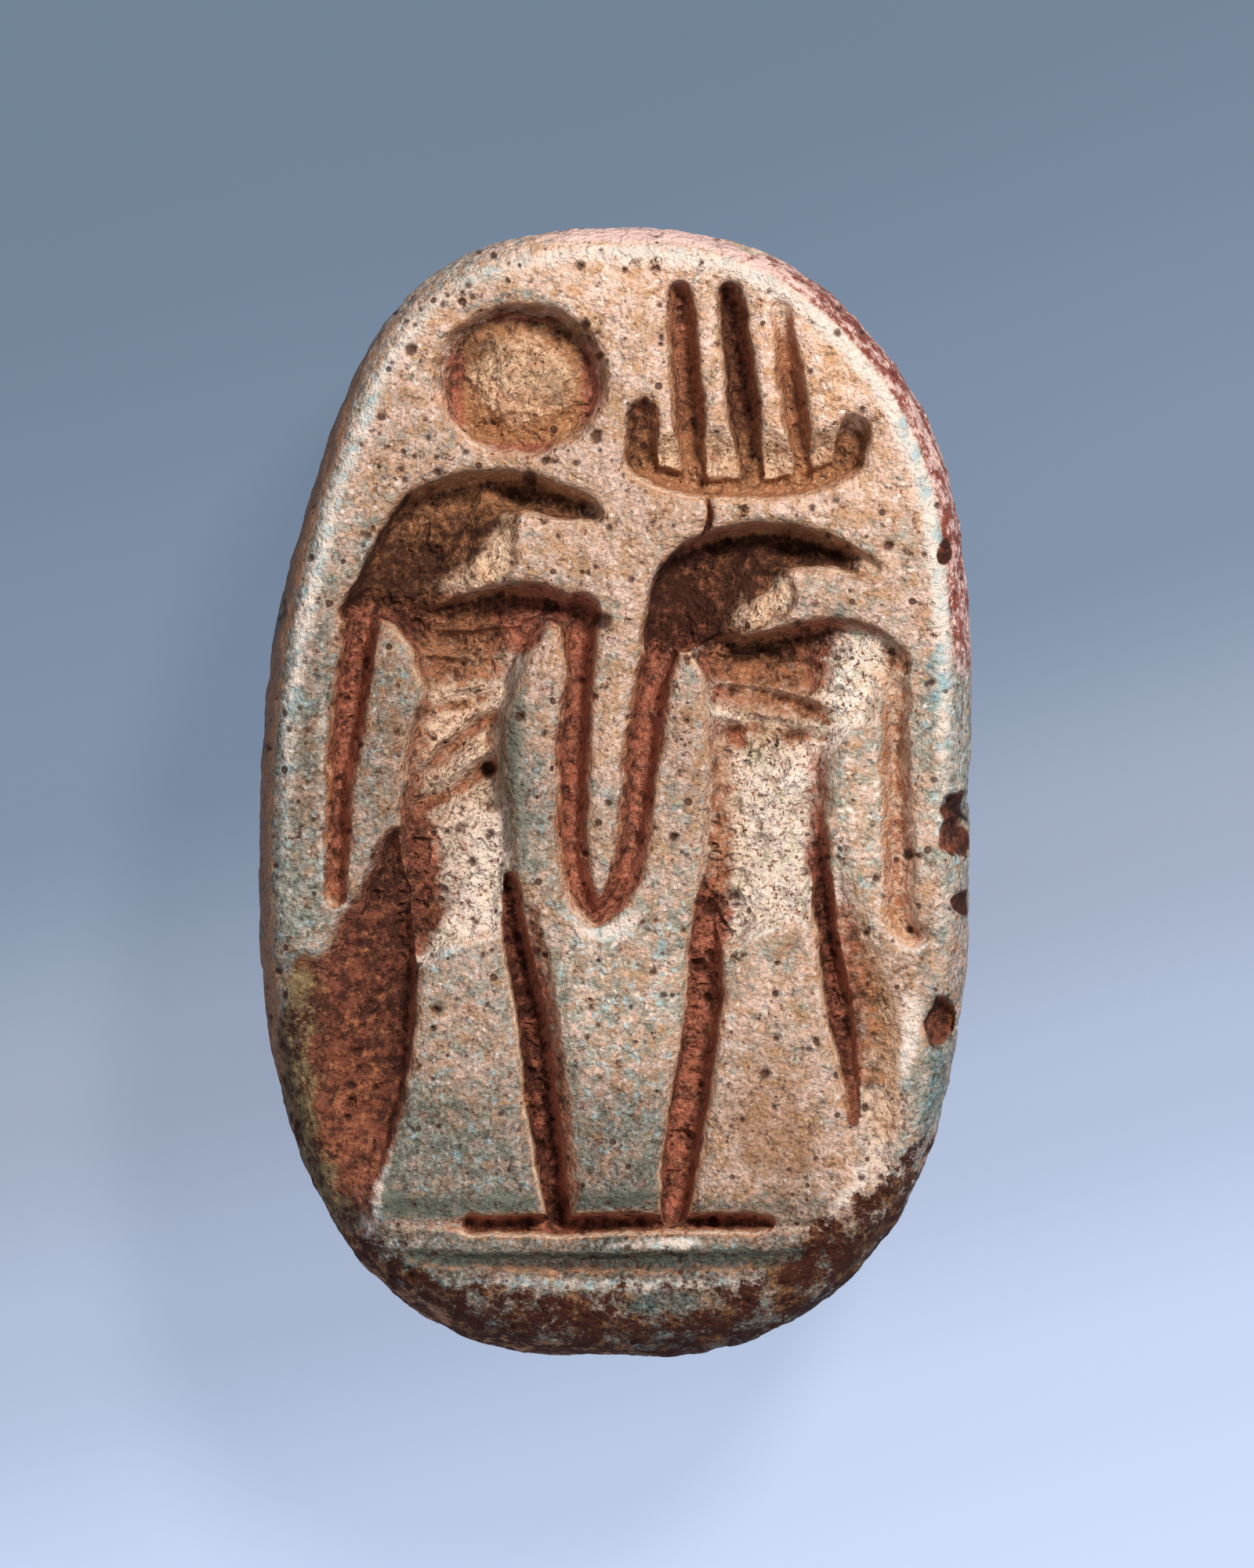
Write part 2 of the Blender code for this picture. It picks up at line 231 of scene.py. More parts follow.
def cutStroke(points, wall=0.16, earth=1.0, cream=0.0, red=0.5):
    # points are x, y, half width, depth
    path = smoothCurve(points)
    window = windowOf(path, 0.6)
    inside, depth = insideStroke(path, window)
    cut(inside, depth, window, wall, earth, cream, red)


def cutHollow(outline, spots, wall=0.16, earth=1.0, cream=0.0, red=0.5):
    edge = smoothCurve(outline, closed=True)
    window = windowOf(edge, 0.3)
    cut(insideOutline(edge, window), spread(spots, window), window, wall, earth, cream, red)


# the sun disc: a dished ring round a low boss
disc = {
    "centre": (-1.3, 5.79),
    "radius": 1.26,
    "squash": 0.87,
    "ringRadius": 1.0,
    "ringDepth": 0.62,
    "bossDepth": 0.36,
}


def cutDisc():
    x, y = disc["centre"]
    away = np.hypot(mapX - x, (mapY - y) / disc["squash"])
    away = away + edgeWobble * 1.5
    dish = disc["bossDepth"] + (disc["ringDepth"] - disc["bossDepth"]) * ramp(away, 0.25, disc["ringRadius"])
    share = ramp(disc["radius"] - away, -0.05, 0.3)
    new = dish * share
    deeper = new > depthMap
    boss = ramp(disc["ringRadius"] - away, 0.05, 0.45)
    # the lower half is paler and redder: painted light where the ring's walls look up towards the light
    lower = ramp(y - mapY, -0.3, 0.6)
    depthMap[:] = np.where(deeper, new, depthMap)
    earthMap[:] = np.where(deeper, share * (0.9 - 0.6 * boss) * (0.8 + 0.2 * lower), earthMap)
    creamMap[:] = np.where(deeper, share * np.maximum(0.9 * boss, 0.3 * lower), creamMap)
    redMap[:] = np.where(deeper, share * (0.45 + 0.5 * lower), redMap)


# a row of upright strokes standing in a shallow trough
row = {
    "strokes": (
        ((0.4, 5.3, 0.2, 0.4), (0.42, 4.68, 0.24, 0.62)),
        ((0.93, 7.0, 0.16, 0.5), (1.0, 6.0, 0.19, 0.66), (1.07, 5.0, 0.2, 0.7), (1.16, 4.4, 0.2, 0.68)),
        ((1.62, 7.0, 0.17, 0.6), (1.72, 6.2, 0.21, 0.74), (1.84, 5.2, 0.22, 0.76), (1.96, 4.4, 0.2, 0.7)),
        ((2.33, 6.8, 0.13, 0.2), (2.45, 6.0, 0.17, 0.46), (2.56, 5.2, 0.18, 0.6), (2.66, 4.45, 0.18, 0.6)),
        ((3.36, 5.1, 0.2, 0.5), (3.28, 4.7, 0.22, 0.64)),
    ),
    "trough": ((0.36, 4.58, 0.17, 0.5), (1.0, 4.36, 0.18, 0.56), (1.9, 4.3, 0.18, 0.58),
               (2.7, 4.38, 0.18, 0.55), (3.28, 4.6, 0.17, 0.5)),
    "ground": ((0.62, 4.74, 0.3, 0.42), (1.4, 4.64, 0.46, 0.46), (2.2, 4.62, 0.46, 0.45),
               (3.06, 4.72, 0.32, 0.42)),
    "reds": (0.2, 0.6, 0.1, 0.85, 0.0),
}


def cutRow():
    cutStroke(row["ground"], wall=0.6, earth=0.3, cream=0.8, red=0.8)
    cutStroke(row["trough"], wall=0.24, earth=0.85, cream=0.4, red=0.85)
    for path, red in zip(row["strokes"], row["reds"]):
        cutStroke(path, wall=0.22, red=red)


# the two standing figures: the same parts, each with its own places
leftFigure = {
    "head": ((-3.84, 2.45), (-3.66, 2.92), (-3.34, 3.54), (-3.0, 4.08), (-2.6, 4.34), (-1.92, 4.5),
             (-1.23, 4.46),
             (-0.77, 4.32), (-0.36, 4.16), (-0.18, 3.98), (-0.24, 3.84), (-0.42, 3.8), (-0.89, 3.84),
             (-1.24, 3.92),
             (-1.34, 3.84), (-1.38, 3.5), (-1.42, 3.1), (-2.0, 2.6), (-2.9, 2.45), (-3.4, 2.4)),
    "headFloor": ((-3.3, 3.1, 0.7), (-3.0, 3.7, 0.86), (-2.3, 4.15, 0.98), (-1.4, 4.25, 0.92),
                  (-0.7, 4.05, 0.6),
                  (-2.7, 3.3, 0.82), (-2.2, 3.7, 0.8), (-1.75, 3.65, 0.52), (-1.42, 3.75, 0.22),
                  (-1.45, 3.4, 0.12),
                  (-1.5, 3.15, 0.1), (-1.75, 3.3, 0.34), (-1.85, 3.02, 0.26), (-2.3, 2.95, 0.5),
                  (-3.2, 2.6, 0.75),
                  (-2.8, 2.6, 0.8)),
    "shoulders": ((-3.3, 2.64, 0.2, 0.78), (-2.6, 2.46, 0.26, 0.9), (-1.9, 2.55, 0.31, 1.0),
                  (-1.3, 2.68, 0.27, 0.92),
                  (-0.88, 2.6, 0.24, 0.72), (-0.42, 2.4, 0.19, 0.72)),
    "trunk": ((-3.14, 2.6), (-2.2, 2.6), (-0.9, 2.6), (-1.04, 2.2), (-1.34, 1.62), (-1.54, 1.1),
              (-1.56, 0.3),
              (-1.42, -0.7), (-1.5, -1.4), (-1.62, -1.98), (-2.2, -2.12), (-2.8, -2.4), (-3.02, -1.4),
              (-3.0, -0.2),
              (-2.88, 0.8), (-2.7, 1.4), (-2.8, 1.9), (-2.94, 2.24)),
    "trunkFloor": ((-2.2, 2.3, 0.8), (-2.2, 1.4, 0.68), (-2.2, 0.2, 0.62), (-2.7, -0.6, 0.64),
                   (-1.8, -0.8, 0.46),
                   (-2.3, -1.9, 0.34), (-2.8, -1.6, 0.56)),
    "furrows": (
        ((-3.0, 2.26, 0.06, 0.1), (-2.4, 2.16, 0.12, 0.22), (-1.85, 2.12, 0.12, 0.18),
         (-1.35, 2.2, 0.05, 0.06)),
        ((-2.7, 1.82, 0.04, 0.08), (-2.3, 1.72, 0.08, 0.16), (-1.75, 1.7, 0.04, 0.08)),
        ((-2.5, 1.2, 0.04, 0.08), (-2.1, 1.24, 0.06, 0.14), (-1.7, 1.4, 0.03, 0.06)),
        ((-2.8, 0.24, 0.08, 0.22), (-2.3, 0.64, 0.09, 0.3), (-1.7, 1.08, 0.06, 0.18)),
        ((-2.7, -0.2, 0.05, 0.12), (-2.2, 0.06, 0.08, 0.22), (-1.72, 0.36, 0.09, 0.26)),
    ),
    "ridges": (
        ((-2.85, 2.0, 0.03, -0.06), (-2.2, 1.94, 0.05, -0.1), (-1.7, 1.94, 0.03, -0.06)),
        ((-2.6, 1.46, 0.03, -0.06), (-2.2, 1.46, 0.06, -0.12), (-1.75, 1.56, 0.03, -0.06)),
        ((-2.6, 0.5, 0.06, -0.1), (-2.2, 0.9, 0.07, -0.16), (-1.68, 1.32, 0.05, -0.1)),
        ((-2.6, 0.08, 0.05, -0.08), (-2.2, 0.36, 0.07, -0.16), (-1.7, 0.74, 0.05, -0.1)),
        ((-2.5, -0.5, 0.04, -0.04), (-1.8, -0.3, 0.06, -0.08)),
    ),
    "leftArm": ((-3.46, 2.6, 0.26, 0.74), (-3.56, 2.3, 0.25, 0.74), (-3.64, 1.85, 0.22, 0.72),
                (-3.76, 1.0, 0.22, 0.66),
                (-3.86, 0.0, 0.17, 0.58), (-3.89, -1.42, 0.13, 0.42)),
    "rightArm": ((-0.5, 2.5, 0.3, 0.74), (-0.5, 2.2, 0.24, 0.74), (-0.5, 1.5, 0.18, 0.68),
                 (-0.58, 0.7, 0.22, 0.62), (-0.6, -0.6, 0.19, 0.52),
                 (-0.5, -1.3, 0.18, 0.5), (-0.3, -1.7, 0.14, 0.46)),
    "leg": ((-1.48, -1.2, 0.1, 0.5), (-1.4, -2.0, 0.17, 0.66), (-1.19, -3.0, 0.21, 0.78),
            (-1.04, -4.2, 0.22, 0.8),
            (-0.78, -5.95, 0.17, 0.75)),
    "legSlope": ((-1.2, -1.7, 0.13, 0.22), (-0.98, -3.0, 0.16, 0.34), (-0.82, -4.2, 0.16, 0.34),
                 (-0.64, -5.7, 0.13, 0.3)),
    "rightArmEarth": 1.0,
    "reds": (0.46, 0.56, 0.0),         # left arm, right arm, leg
}

rightFigure = {
    "head": ((0.42, 2.05), (0.46, 2.6), (0.62, 3.12), (0.93, 3.45), (1.3, 3.62), (2.0, 3.78), (2.6, 3.72),
             (3.15, 3.55), (3.55, 3.36), (3.76, 3.18), (3.66, 3.04), (3.35, 3.04), (3.0, 3.14),
             (2.67, 3.14),
             (2.46, 3.08), (2.56, 2.68), (2.3, 2.4), (1.9, 2.2), (1.2, 2.0), (0.85, 1.98)),
    "headFloor": ((0.75, 2.6, 0.8), (0.95, 3.2, 0.86), (1.6, 3.45, 0.98), (2.4, 3.42, 0.92),
                  (3.1, 3.32, 0.6),
                  (3.55, 3.18, 0.2), (2.4, 3.02, 0.26), (2.46, 2.8, 0.12), (2.1, 2.95, 0.66),
                  (2.15, 2.66, 0.3),
                  (1.95, 2.42, 0.38), (1.75, 2.6, 0.56), (1.5, 2.9, 0.82), (1.2, 2.3, 0.78)),
    "shoulders": ((1.35, 2.08, 0.2, 0.82), (1.9, 2.02, 0.22, 0.94), (2.5, 2.06, 0.28, 0.9),
                  (3.0, 2.12, 0.31, 0.54),
                  (3.47, 2.04, 0.33, 0.36), (3.85, 1.82, 0.3, 0.34)),
    "trunk": ((1.06, 2.2), (2.2, 2.2), (3.0, 2.2), (3.72, 2.0), (3.7, 1.3), (3.62, 1.0), (3.32, 0.84),
              (3.06, 0.5), (2.98, -0.4), (2.85, -1.2), (2.68, -1.8), (2.3, -1.86), (2.0, -1.95),
              (1.76, -2.16),
              (1.4, -2.1), (1.16, -1.5), (1.25, -0.5), (1.33, 0.4), (1.3, 1.2), (1.24, 1.7)),
    "trunkFloor": ((1.8, 1.7, 0.78), (2.6, 1.7, 0.62), (3.3, 1.6, 0.32), (3.4, 1.1, 0.28), (2.0, 0.7, 0.6),
                   (2.75, 0.6, 0.5), (2.3, -0.2, 0.46), (1.45, -0.6, 0.6), (2.3, -1.6, 0.3),
                   (1.4, -1.7, 0.54),
                   (2.85, -0.4, 0.54)),
    "furrows": (
        ((1.35, 1.86, 0.06, 0.12), (2.0, 1.82, 0.1, 0.2), (2.6, 1.76, 0.1, 0.14), (2.95, 1.66, 0.03, 0.02)),
        ((1.5, 1.64, 0.02, 0.04), (2.1, 1.62, 0.06, 0.12), (2.75, 1.5, 0.05, 0.08)),
        ((1.45, 1.42, 0.05, 0.1), (2.2, 1.34, 0.07, 0.18), (2.8, 1.12, 0.08, 0.2), (3.0, 1.02, 0.03, 0.04)),
        ((1.6, 0.94, 0.05, 0.1), (2.1, 0.88, 0.06, 0.14), (2.7, 0.8, 0.05, 0.12), (2.95, 0.76, 0.03, 0.04)),
        ((1.7, 0.8, 0.1, 0.3), (1.78, 0.72, 0.1, 0.28)),
        ((1.9, -0.9, 0.05, 0.04), (2.5, -0.3, 0.06, 0.08), (2.85, 0.1, 0.04, 0.06)),
    ),
    "ridges": (
        ((1.4, 1.56, 0.03, -0.06), (2.0, 1.5, 0.04, -0.1), (2.8, 1.32, 0.03, -0.08)),
        ((1.5, 1.22, 0.03, -0.06), (2.1, 1.1, 0.06, -0.1), (2.85, 0.94, 0.04, -0.08)),
        ((1.8, -0.5, 0.05, -0.05), (2.4, 0.1, 0.06, -0.08), (2.8, 0.4, 0.04, -0.04)),
    ),
    "leftArm": ((0.7, 2.25, 0.3, 0.75), (0.62, 1.9, 0.25, 0.75), (0.54, 1.5, 0.23, 0.72),
                (0.46, 1.0, 0.24, 0.68), (0.34, 0.1, 0.22, 0.62),
                (0.22, -0.9, 0.19, 0.54), (0.02, -1.46, 0.17, 0.48), (-0.26, -1.74, 0.14, 0.46)),
    "rightArm": ((3.93, 1.8, 0.18, 0.36), (3.95, 1.0, 0.18, 0.42), (3.96, 0.0, 0.19, 0.46),
                 (3.99, -0.8, 0.2, 0.44),
                 (4.0, -1.6, 0.2, 0.38), (4.08, -1.88, 0.19, 0.36), (4.24, -2.0, 0.15, 0.34)),
    "leg": ((1.3, -1.2, 0.1, 0.5), (1.28, -1.8, 0.19, 0.6), (1.27, -2.2, 0.23, 0.68),
            (1.24, -3.0, 0.24, 0.72), (1.08, -4.2, 0.25, 0.74),
            (0.92, -5.1, 0.25, 0.75), (0.82, -5.95, 0.17, 0.72)),
    "legSlope": ((1.4, -2.4, 0.13, 0.2), (1.38, -3.2, 0.14, 0.24), (1.22, -4.3, 0.14, 0.24),
                 (1.0, -5.6, 0.12, 0.2)),
    "rightArmEarth": 0.4,
    "reds": (0.48, 1.0, 0.44),
}


def press(points, earth, cream, red):
    # a soft furrow, or a ridge where the depth is negative, added to what is there
    path = smoothCurve(points)
    earth = earth * min(np.abs(path[:, 3]).max() / 0.15, 1) ** 2
    window = windowOf(path, 0.4)
    inside, depth = insideStroke(path, window)
    share = ramp(inside + 1.8 * edgeWobble[window], -0.1, 0.1)
    depthMap[window] += share * depth
    for values, value in ((earthMap, earth), (creamMap, cream), (redMap, red)):
        values[window] += share * (value - values[window])


def cutFigure(figure, trunkCream):
    reds = figure["reds"]
    cutHollow(figure["trunk"], figure["trunkFloor"], wall=0.3, earth=0.2, cream=trunkCream, red=0.5)
    cutStroke(figure["shoulders"], wall=0.26, red=0.05)
    cutHollow(figure["head"], figure["headFloor"], wall=0.22, red=-0.25)
    for path in figure["furrows"]:
        press(path, 0.75, 0.3, 0.25)
    for path in figure["ridges"]:
        press(path, 0.1, 0.9, 1.0)
    cutStroke(figure["leftArm"], wall=0.28, red=reds[0])
    cutStroke(figure["rightArm"], wall=0.28, earth=figure["rightArmEarth"], cream=0.5, red=reds[1])
    cutStroke(figure["legSlope"], wall=0.34, earth=0.5, red=0.35)
    cutStroke(figure["leg"], wall=0.13, red=reds[2])


# what lies round the figures: the far leg, the broken lower left and the ground lines
surroundings = {
    "farLeg": ((2.88, -0.4, 0.1, 0.5), (2.92, -1.3, 0.15, 0.6), (2.99, -1.9, 0.16, 0.62),
               (3.1, -2.6, 0.19, 0.62),
               (3.24, -3.4, 0.17, 0.56), (3.34, -4.2, 0.12, 0.3), (3.38, -4.6, 0.09, 0.1)),
    "farSlope": ((3.1, -1.0, 0.12, 0.16), (3.35, -2.2, 0.3, 0.26), (3.55, -3.2, 0.38, 0.24),
                 (3.68, -4.2, 0.34, 0.18),
                 (3.75, -5.0, 0.24, 0.12), (3.78, -5.5, 0.14, 0.08)),
    "brokenCorner": ((-3.14, -0.52), (-2.98, -0.6), (-2.88, -1.3), (-2.8, -2.4), (-2.86, -3.2),
                     (-2.94, -4.1),
                     (-3.1, -4.8), (-3.38, -5.6), (-3.46, -6.2), (-4.3, -6.3), (-5.1, -5.0), (-5.3, -3.2),
                     (-4.8, -2.42), (-4.45, -2.3), (-4.05, -2.3), (-3.85, -1.85), (-3.6, -1.4),
                     (-3.35, -0.9)),
    "brokenSide": ((-3.1, -0.7, 0.06, 0.5), (-2.98, -1.4, 0.12, 0.62), (-2.93, -2.6, 0.14, 0.7),
                   (-3.0, -3.6, 0.14, 0.66),
                   (-3.14, -4.4, 0.13, 0.5), (-3.36, -5.2, 0.1, 0.34)),
    "brokenFloor": ((-3.0, -1.2, 0.6), (-2.95, -3.0, 0.66), (-3.05, -4.2, 0.55), (-3.5, -3.0, 0.42),
                    (-3.6, -5.4, 0.2),
                    (-4.1, -3.2, 0.26), (-4.6, -3.2, 0.14), (-4.3, -5.0, 0.08), (-3.6, -1.9, 0.42)),
    "groundLine": ((-2.0, -6.08, 0.14, 0.42), (-0.6, -6.07, 0.15, 0.55), (0.4, -6.05, 0.14, 0.5),
                   (0.9, -6.09, 0.11, 0.35), (1.3, -6.04, 0.14, 0.5), (2.15, -6.05, 0.12, 0.42)),
    "groundEnds": (((-3.2, -6.05, 0.04, 0.04), (-1.9, -6.1, 0.12, 0.2)), ((2.0, -6.1, 0.12, 0.2),
                                                                          (3.0, -6.08, 0.05, 0.04))),
    "lowerLine": ((-3.3, -6.45, 0.08, 0.06), (-2.2, -6.57, 0.13, 0.16), (0.0, -6.6, 0.15, 0.2),
                  (2.2, -6.56, 0.13, 0.16),
                  (3.1, -6.4, 0.06, 0.04)),
}


def cutSurroundings():
    cutHollow(surroundings["brokenCorner"], surroundings["brokenFloor"], wall=0.4, earth=0.8, red=0.4)
    cutStroke(surroundings["brokenSide"], wall=0.12, red=0.1)
    cutStroke(surroundings["farSlope"], wall=0.4, earth=0.25, cream=0.45, red=0.35)
    cutStroke(surroundings["farLeg"], wall=0.17, red=0.12)
    for path in surroundings["groundEnds"]:
        cutStroke(path, wall=0.16, earth=0.3, cream=0.3)
    cutStroke(surroundings["groundLine"], wall=0.14, red=0.2)
    cutStroke(surroundings["lowerLine"], wall=0.2, earth=0.1)


cutFigure(leftFigure, 0.7)
cutFigure(rightFigure, 0.9)
cutDisc()
cutRow()
cutSurroundings()
print("relief drawn:", mapX.shape, "deepest %.2f mm" % depthMap.max())


# wear, tool marks, pores and chips
pores = {
    "count": 1300,
    "smallest": 0.014,          # radius
    "largest": 0.06,
    "seed": 5,
    "named": (                  # the large ones: x, y, radius
        (-2.85, 6.22, 0.09), (-3.28, 5.28, 0.07), (-2.15, 6.9, 0.06), (-2.05, 7.12, 0.05),
        (-0.48, 7.4, 0.07),
        (-0.95, 4.67, 0.07), (-3.0, 4.55, 0.06), (-2.8, 4.72, 0.05), (-0.25, 5.0, 0.1), (-0.4, 6.58, 0.07),
        (-1.18, 4.42, 0.11), (-1.78, 0.34, 0.12), (-1.32, 1.07, 0.08), (-0.19, 2.4, 0.15),
        (0.83, -0.62, 0.08),
        (-0.42, -0.84, 0.06), (1.02, -0.88, 0.04), (3.68, -1.2, 0.06), (4.28, -1.6, 0.05),
        (2.12, -3.95, 0.09),
        (1.68, -1.45, 0.08), (1.35, -1.65, 0.12), (1.2, -2.45, 0.1), (-3.7, -4.38, 0.06),
        (-1.6, -4.5, 0.05),
        (3.75, -5.4, 0.05), (-2.0, -0.97, 0.07), (-1.75, -0.6, 0.07), (4.14, -0.86, 0.08),
        (3.85, 3.46, 0.08),
        (-2.55, 3.1, 0.05), (-2.0, 3.05, 0.06), (-1.95, 1.95, 0.05), (-0.45, 1.6, 0.05),
    ),
}
rimChips = (                    # x, y, half width, half height, depth
    (4.85, -0.25, 0.3, 0.28, 0.4), (4.82, -0.65, 0.28, 0.28, 0.34), (4.92, -1.55, 0.2, 0.18, 0.32),
    (4.58, -3.26, 0.23, 0.36, 0.38), (1.68, -7.85, 0.08, 0.16, 0.2), (4.64, 3.4, 0.12, 0.2, 0.04),
    (-5.0, -4.1, 0.12, 0.3, 0.2), (-4.75, -4.75, 0.1, 0.2, 0.15),
)
crack = ((1.3, 4.14, 0.03, 0.25), (1.35, 3.92, 0.035, 0.3), (1.3, 3.7, 0.03, 0.25), (1.17, 3.52, 0.02, 0.1))
poreMap = np.zeros(mapX.shape)
chipMap = np.zeros(mapX.shape)


def wearDown():
    global depthMap
    soft = blur(depthMap, 0.08)
    down, across = np.gradient(soft, reliefMap["cell"])
    sheltered = ramp(-0.35 * across - 0.94 * down, -1.2, 0.6)
    depthMap = np.maximum(depthMap, soft * (0.36 + 0.14 * sheltered))   # rubbed lips, most on the upper walls
    depthMap = np.maximum(depthMap, blur(depthMap, 0.16) * 0.32)        # narrow strips worn round
    depthMap = blur(depthMap, 0.013)
    sunk = ramp(depthMap, 0.1, 0.35)
    depthMap += sunk * (unevenness(0.25, 31, 4) * 0.06 + unevenness(0.08, 37, 2) * 0.03)
    depthMap += creamMap * (unevenness(0.4, 71, 4) * 0.08 + unevenness(0.12, 73, 3) * 0.045)
    depthMap += (1 - sunk) * (unevenness(0.8, 41, 3) * 0.022 + unevenness(0.25, 45, 3) * 0.012 + 0.03)
    depthMap += unevenness(0.07, 47, 2) * 0.007
    cutStroke(crack, wall=0.04, earth=0.9, red=0.0)
    for x, y, halfWidth, halfHeight, deep in rimChips:
        bowl = 1 - ((mapX - x) / halfWidth) ** 2 - ((mapY - y) / halfHeight) ** 2
        bowl = bowl + unevenness(0.25, 51, 4) * 0.6
        depthMap += deep * np.sqrt(np.clip(bowl, 0, 1))
        chipMap[:] = np.maximum(chipMap, ramp(bowl, -0.3, 0.4))


def openPores():
    rng = np.random.default_rng(pores["seed"])
    x = rng.uniform(-4.9, 4.9, pores["count"])
    y = rng.uniform(-7.8, 7.8, pores["count"])
    span = pores["largest"] - pores["smallest"]
    radius = pores["smallest"] + span * rng.uniform(0, 1, pores["count"]) ** 3.5
    ragged = unevenness(0.09, 61, 2)
    for px, py, r in list(zip(x, y, radius)) + list(pores["named"]):
        window = windowOf(np.array([[px, py]]), r * 1.6)
        away = np.hypot(mapX[window] - px, mapY[window] - py) / r * (1 + 0.35 * ragged[window])
        pit = np.clip(1.15 - away ** 2, 0, 1)
        depthMap[window] += pit * min(r * 1.2, 0.1)
        poreMap[window] = np.maximum(poreMap[window], ramp(pit, 0.05, 0.6))


wearDown()
openPores()
covered = ramp(earthMap, 0.05, 0.2) + 0.001
redMap = blur(redMap * covered, 0.18) / blur(covered, 0.18)           # one earth passes softly into the next
slopeY, slopeX = np.gradient(blur(depthMap, 0.03), reliefMap["cell"])
facing = 0.55 * slopeX + 0.83 * slopeY                  # above 0 where a wall looks up and right
# painted highlight: cream and orange on walls that look towards the light
litMap = np.clip((facing - 0.3) * 0.7, 0, 1) * (1 - ramp(depthMap, 0.14, 0.48))
# painted shade: grey-green on lips that look away from the light
shadeFringeMap = np.clip(-blur(facing, 0.09) * 0.45, 0, 1) * (1 - ramp(depthMap, 0.12, 0.4))
lipMap = ramp(depthMap, 0.03, 0.09) * (1 - ramp(depthMap, 0.2, 0.45))
lipMap *= ramp(np.hypot(slopeX, slopeY), 0.2, 0.9)
lipMap *= (1 - ramp(-mapY, 5.9, 6.2)) * (1 - ramp(facing, -0.1, 0.5))
wallRed = 0.6 + 0.35 * ramp(mapY, 3.0, 3.4) - 0.65 * ramp(mapY, 4.7, 4.9)
shadedWalls = ramp(-facing, 0.7, 1.8)
redMap += shadedWalls * np.clip(wallRed - redMap, 0, 1)               # walls that look away from the light get lighter earth: painted fill light in their shade
# painted shade: a dark tint in concave places, together with the dark pores
poreAndHollowShadeMap = np.maximum(np.clip((depthMap - blur(depthMap, 0.05)) * 7, 0, 1) * 0.25, poreMap)
ridgeMap = np.clip((blur(depthMap, 0.06) - depthMap) * 8, 0, 1) * (1 - ramp(depthMap, 0.3, 0.5))
print("worn and pitted")


# where the stone is pale, grey, crusted or stained: soft masks, not shapes
rubbedAndLitRim = (                   # x, y, half width, strength: how pale the band inside the rim is, rubbed wear with painted highlight, strongest towards the upper right
    ((-4.8, -1.5, 0.3, 0.4), (-4.7, 0.8, 0.3, 0.8), (-4.5, 2.4, 0.3, 1.0), (-4.1, 4.0, 0.3, 1.0),
     (-3.5, 5.6, 0.3, 1.0),
     (-2.6, 6.9, 0.3, 0.8), (-1.2, 7.5, 0.3, 0.9), (0.2, 7.6, 0.3, 1.1), (1.4, 7.5, 0.3, 1.2),
     (2.6, 7.0, 0.3, 1.2),
     (3.8, 5.9, 0.3, 1.3), (4.4, 4.3, 0.3, 1.4), (4.6, 3.0, 0.3, 1.3), (4.7, 1.7, 0.35, 1.1),
     (4.75, 0.4, 0.3, 0.8),
     (4.75, -0.6, 0.3, 0.4)),
    ((4.7, -1.5, 0.2, 0.5), (4.6, -2.4, 0.2, 0.5)),
)
wornAndLitPaths = (                   # x, y, half width, strength: pale worn edges, and painted highlight on the lower walls of cuts that look up towards the light
    ((4.25, -2.6, 0.05, 0.5), (4.2, -2.9, 0.1, 0.9), (4.16, -3.5, 0.1, 1.0), (4.05, -3.95, 0.1, 0.8),
     (4.0, -4.5, 0.08, 0.4), (3.8, -5.0, 0.1, 0.5), (3.4, -5.5, 0.1, 0.9), (3.1, -5.85, 0.08, 0.7)),
    ((2.66, -1.72, 0.03, 0.9), (2.78, -2.4, 0.02, 0.6), (3.05, -4.0, 0.01, 0.6), (3.28, -5.0, 0.02, 0.8),
     (3.4, -5.6, 0.04, 0.9)),
    ((-3.14, -4.85, 0.06, 0.8), (-3.34, -5.5, 0.1, 1.0), (-3.5, -6.25, 0.08, 0.8)),
    ((-3.2, -6.32, 0.05, 0.7), (-1.5, -6.36, 0.02, 0.3), (0.2, -6.33, 0.04, 0.7), (1.0, -6.33, 0.06, 1.1),
     (1.5, -6.34, 0.01, 0.2), (2.6, -6.3, 0.03, 0.5)),
    ((-2.4, -6.86, 0.04, 0.5), (0.2, -6.91, 0.06, 0.8), (2.4, -6.86, 0.04, 0.5)),
    ((-0.62, -1.66, 0.07, 0.6), (-0.35, -1.95, 0.09, 1.0), (0.1, -1.92, 0.1, 1.0), (0.38, -1.6, 0.07, 0.6)),
    ((-2.78, -2.36, 0.09, 1.0), (-2.2, -2.1, 0.1, 1.0), (-1.7, -1.96, 0.08, 0.9)),
    ((1.8, -2.05, 0.08, 0.8), (2.2, -1.84, 0.1, 1.0), (2.6, -1.7, 0.08, 0.8)),
    ((3.9, -2.0, 0.06, 0.9), (4.1, -2.16, 0.06, 1.0), (4.35, -2.16, 0.05, 0.8)),
    ((-4.05, -1.5, 0.05, 0.8), (-3.8, -1.56, 0.06, 0.9)),
    ((-4.12, 1.5, 0.05, 0.6), (-4.08, 0.0, 0.05, 0.6), (-4.05, -1.3, 0.05, 0.7)),
)
crustPaths = (
    ((-3.9, -6.6, 0.25, 0.8), (-2.4, -7.4, 0.42, 1.0), (0.0, -7.52, 0.46, 1.0), (2.2, -7.3, 0.44, 1.0),
     (3.2, -6.5, 0.5, 0.9), (4.0, -5.8, 0.35, 1.0), (4.5, -5.0, 0.15, 0.6)),
)
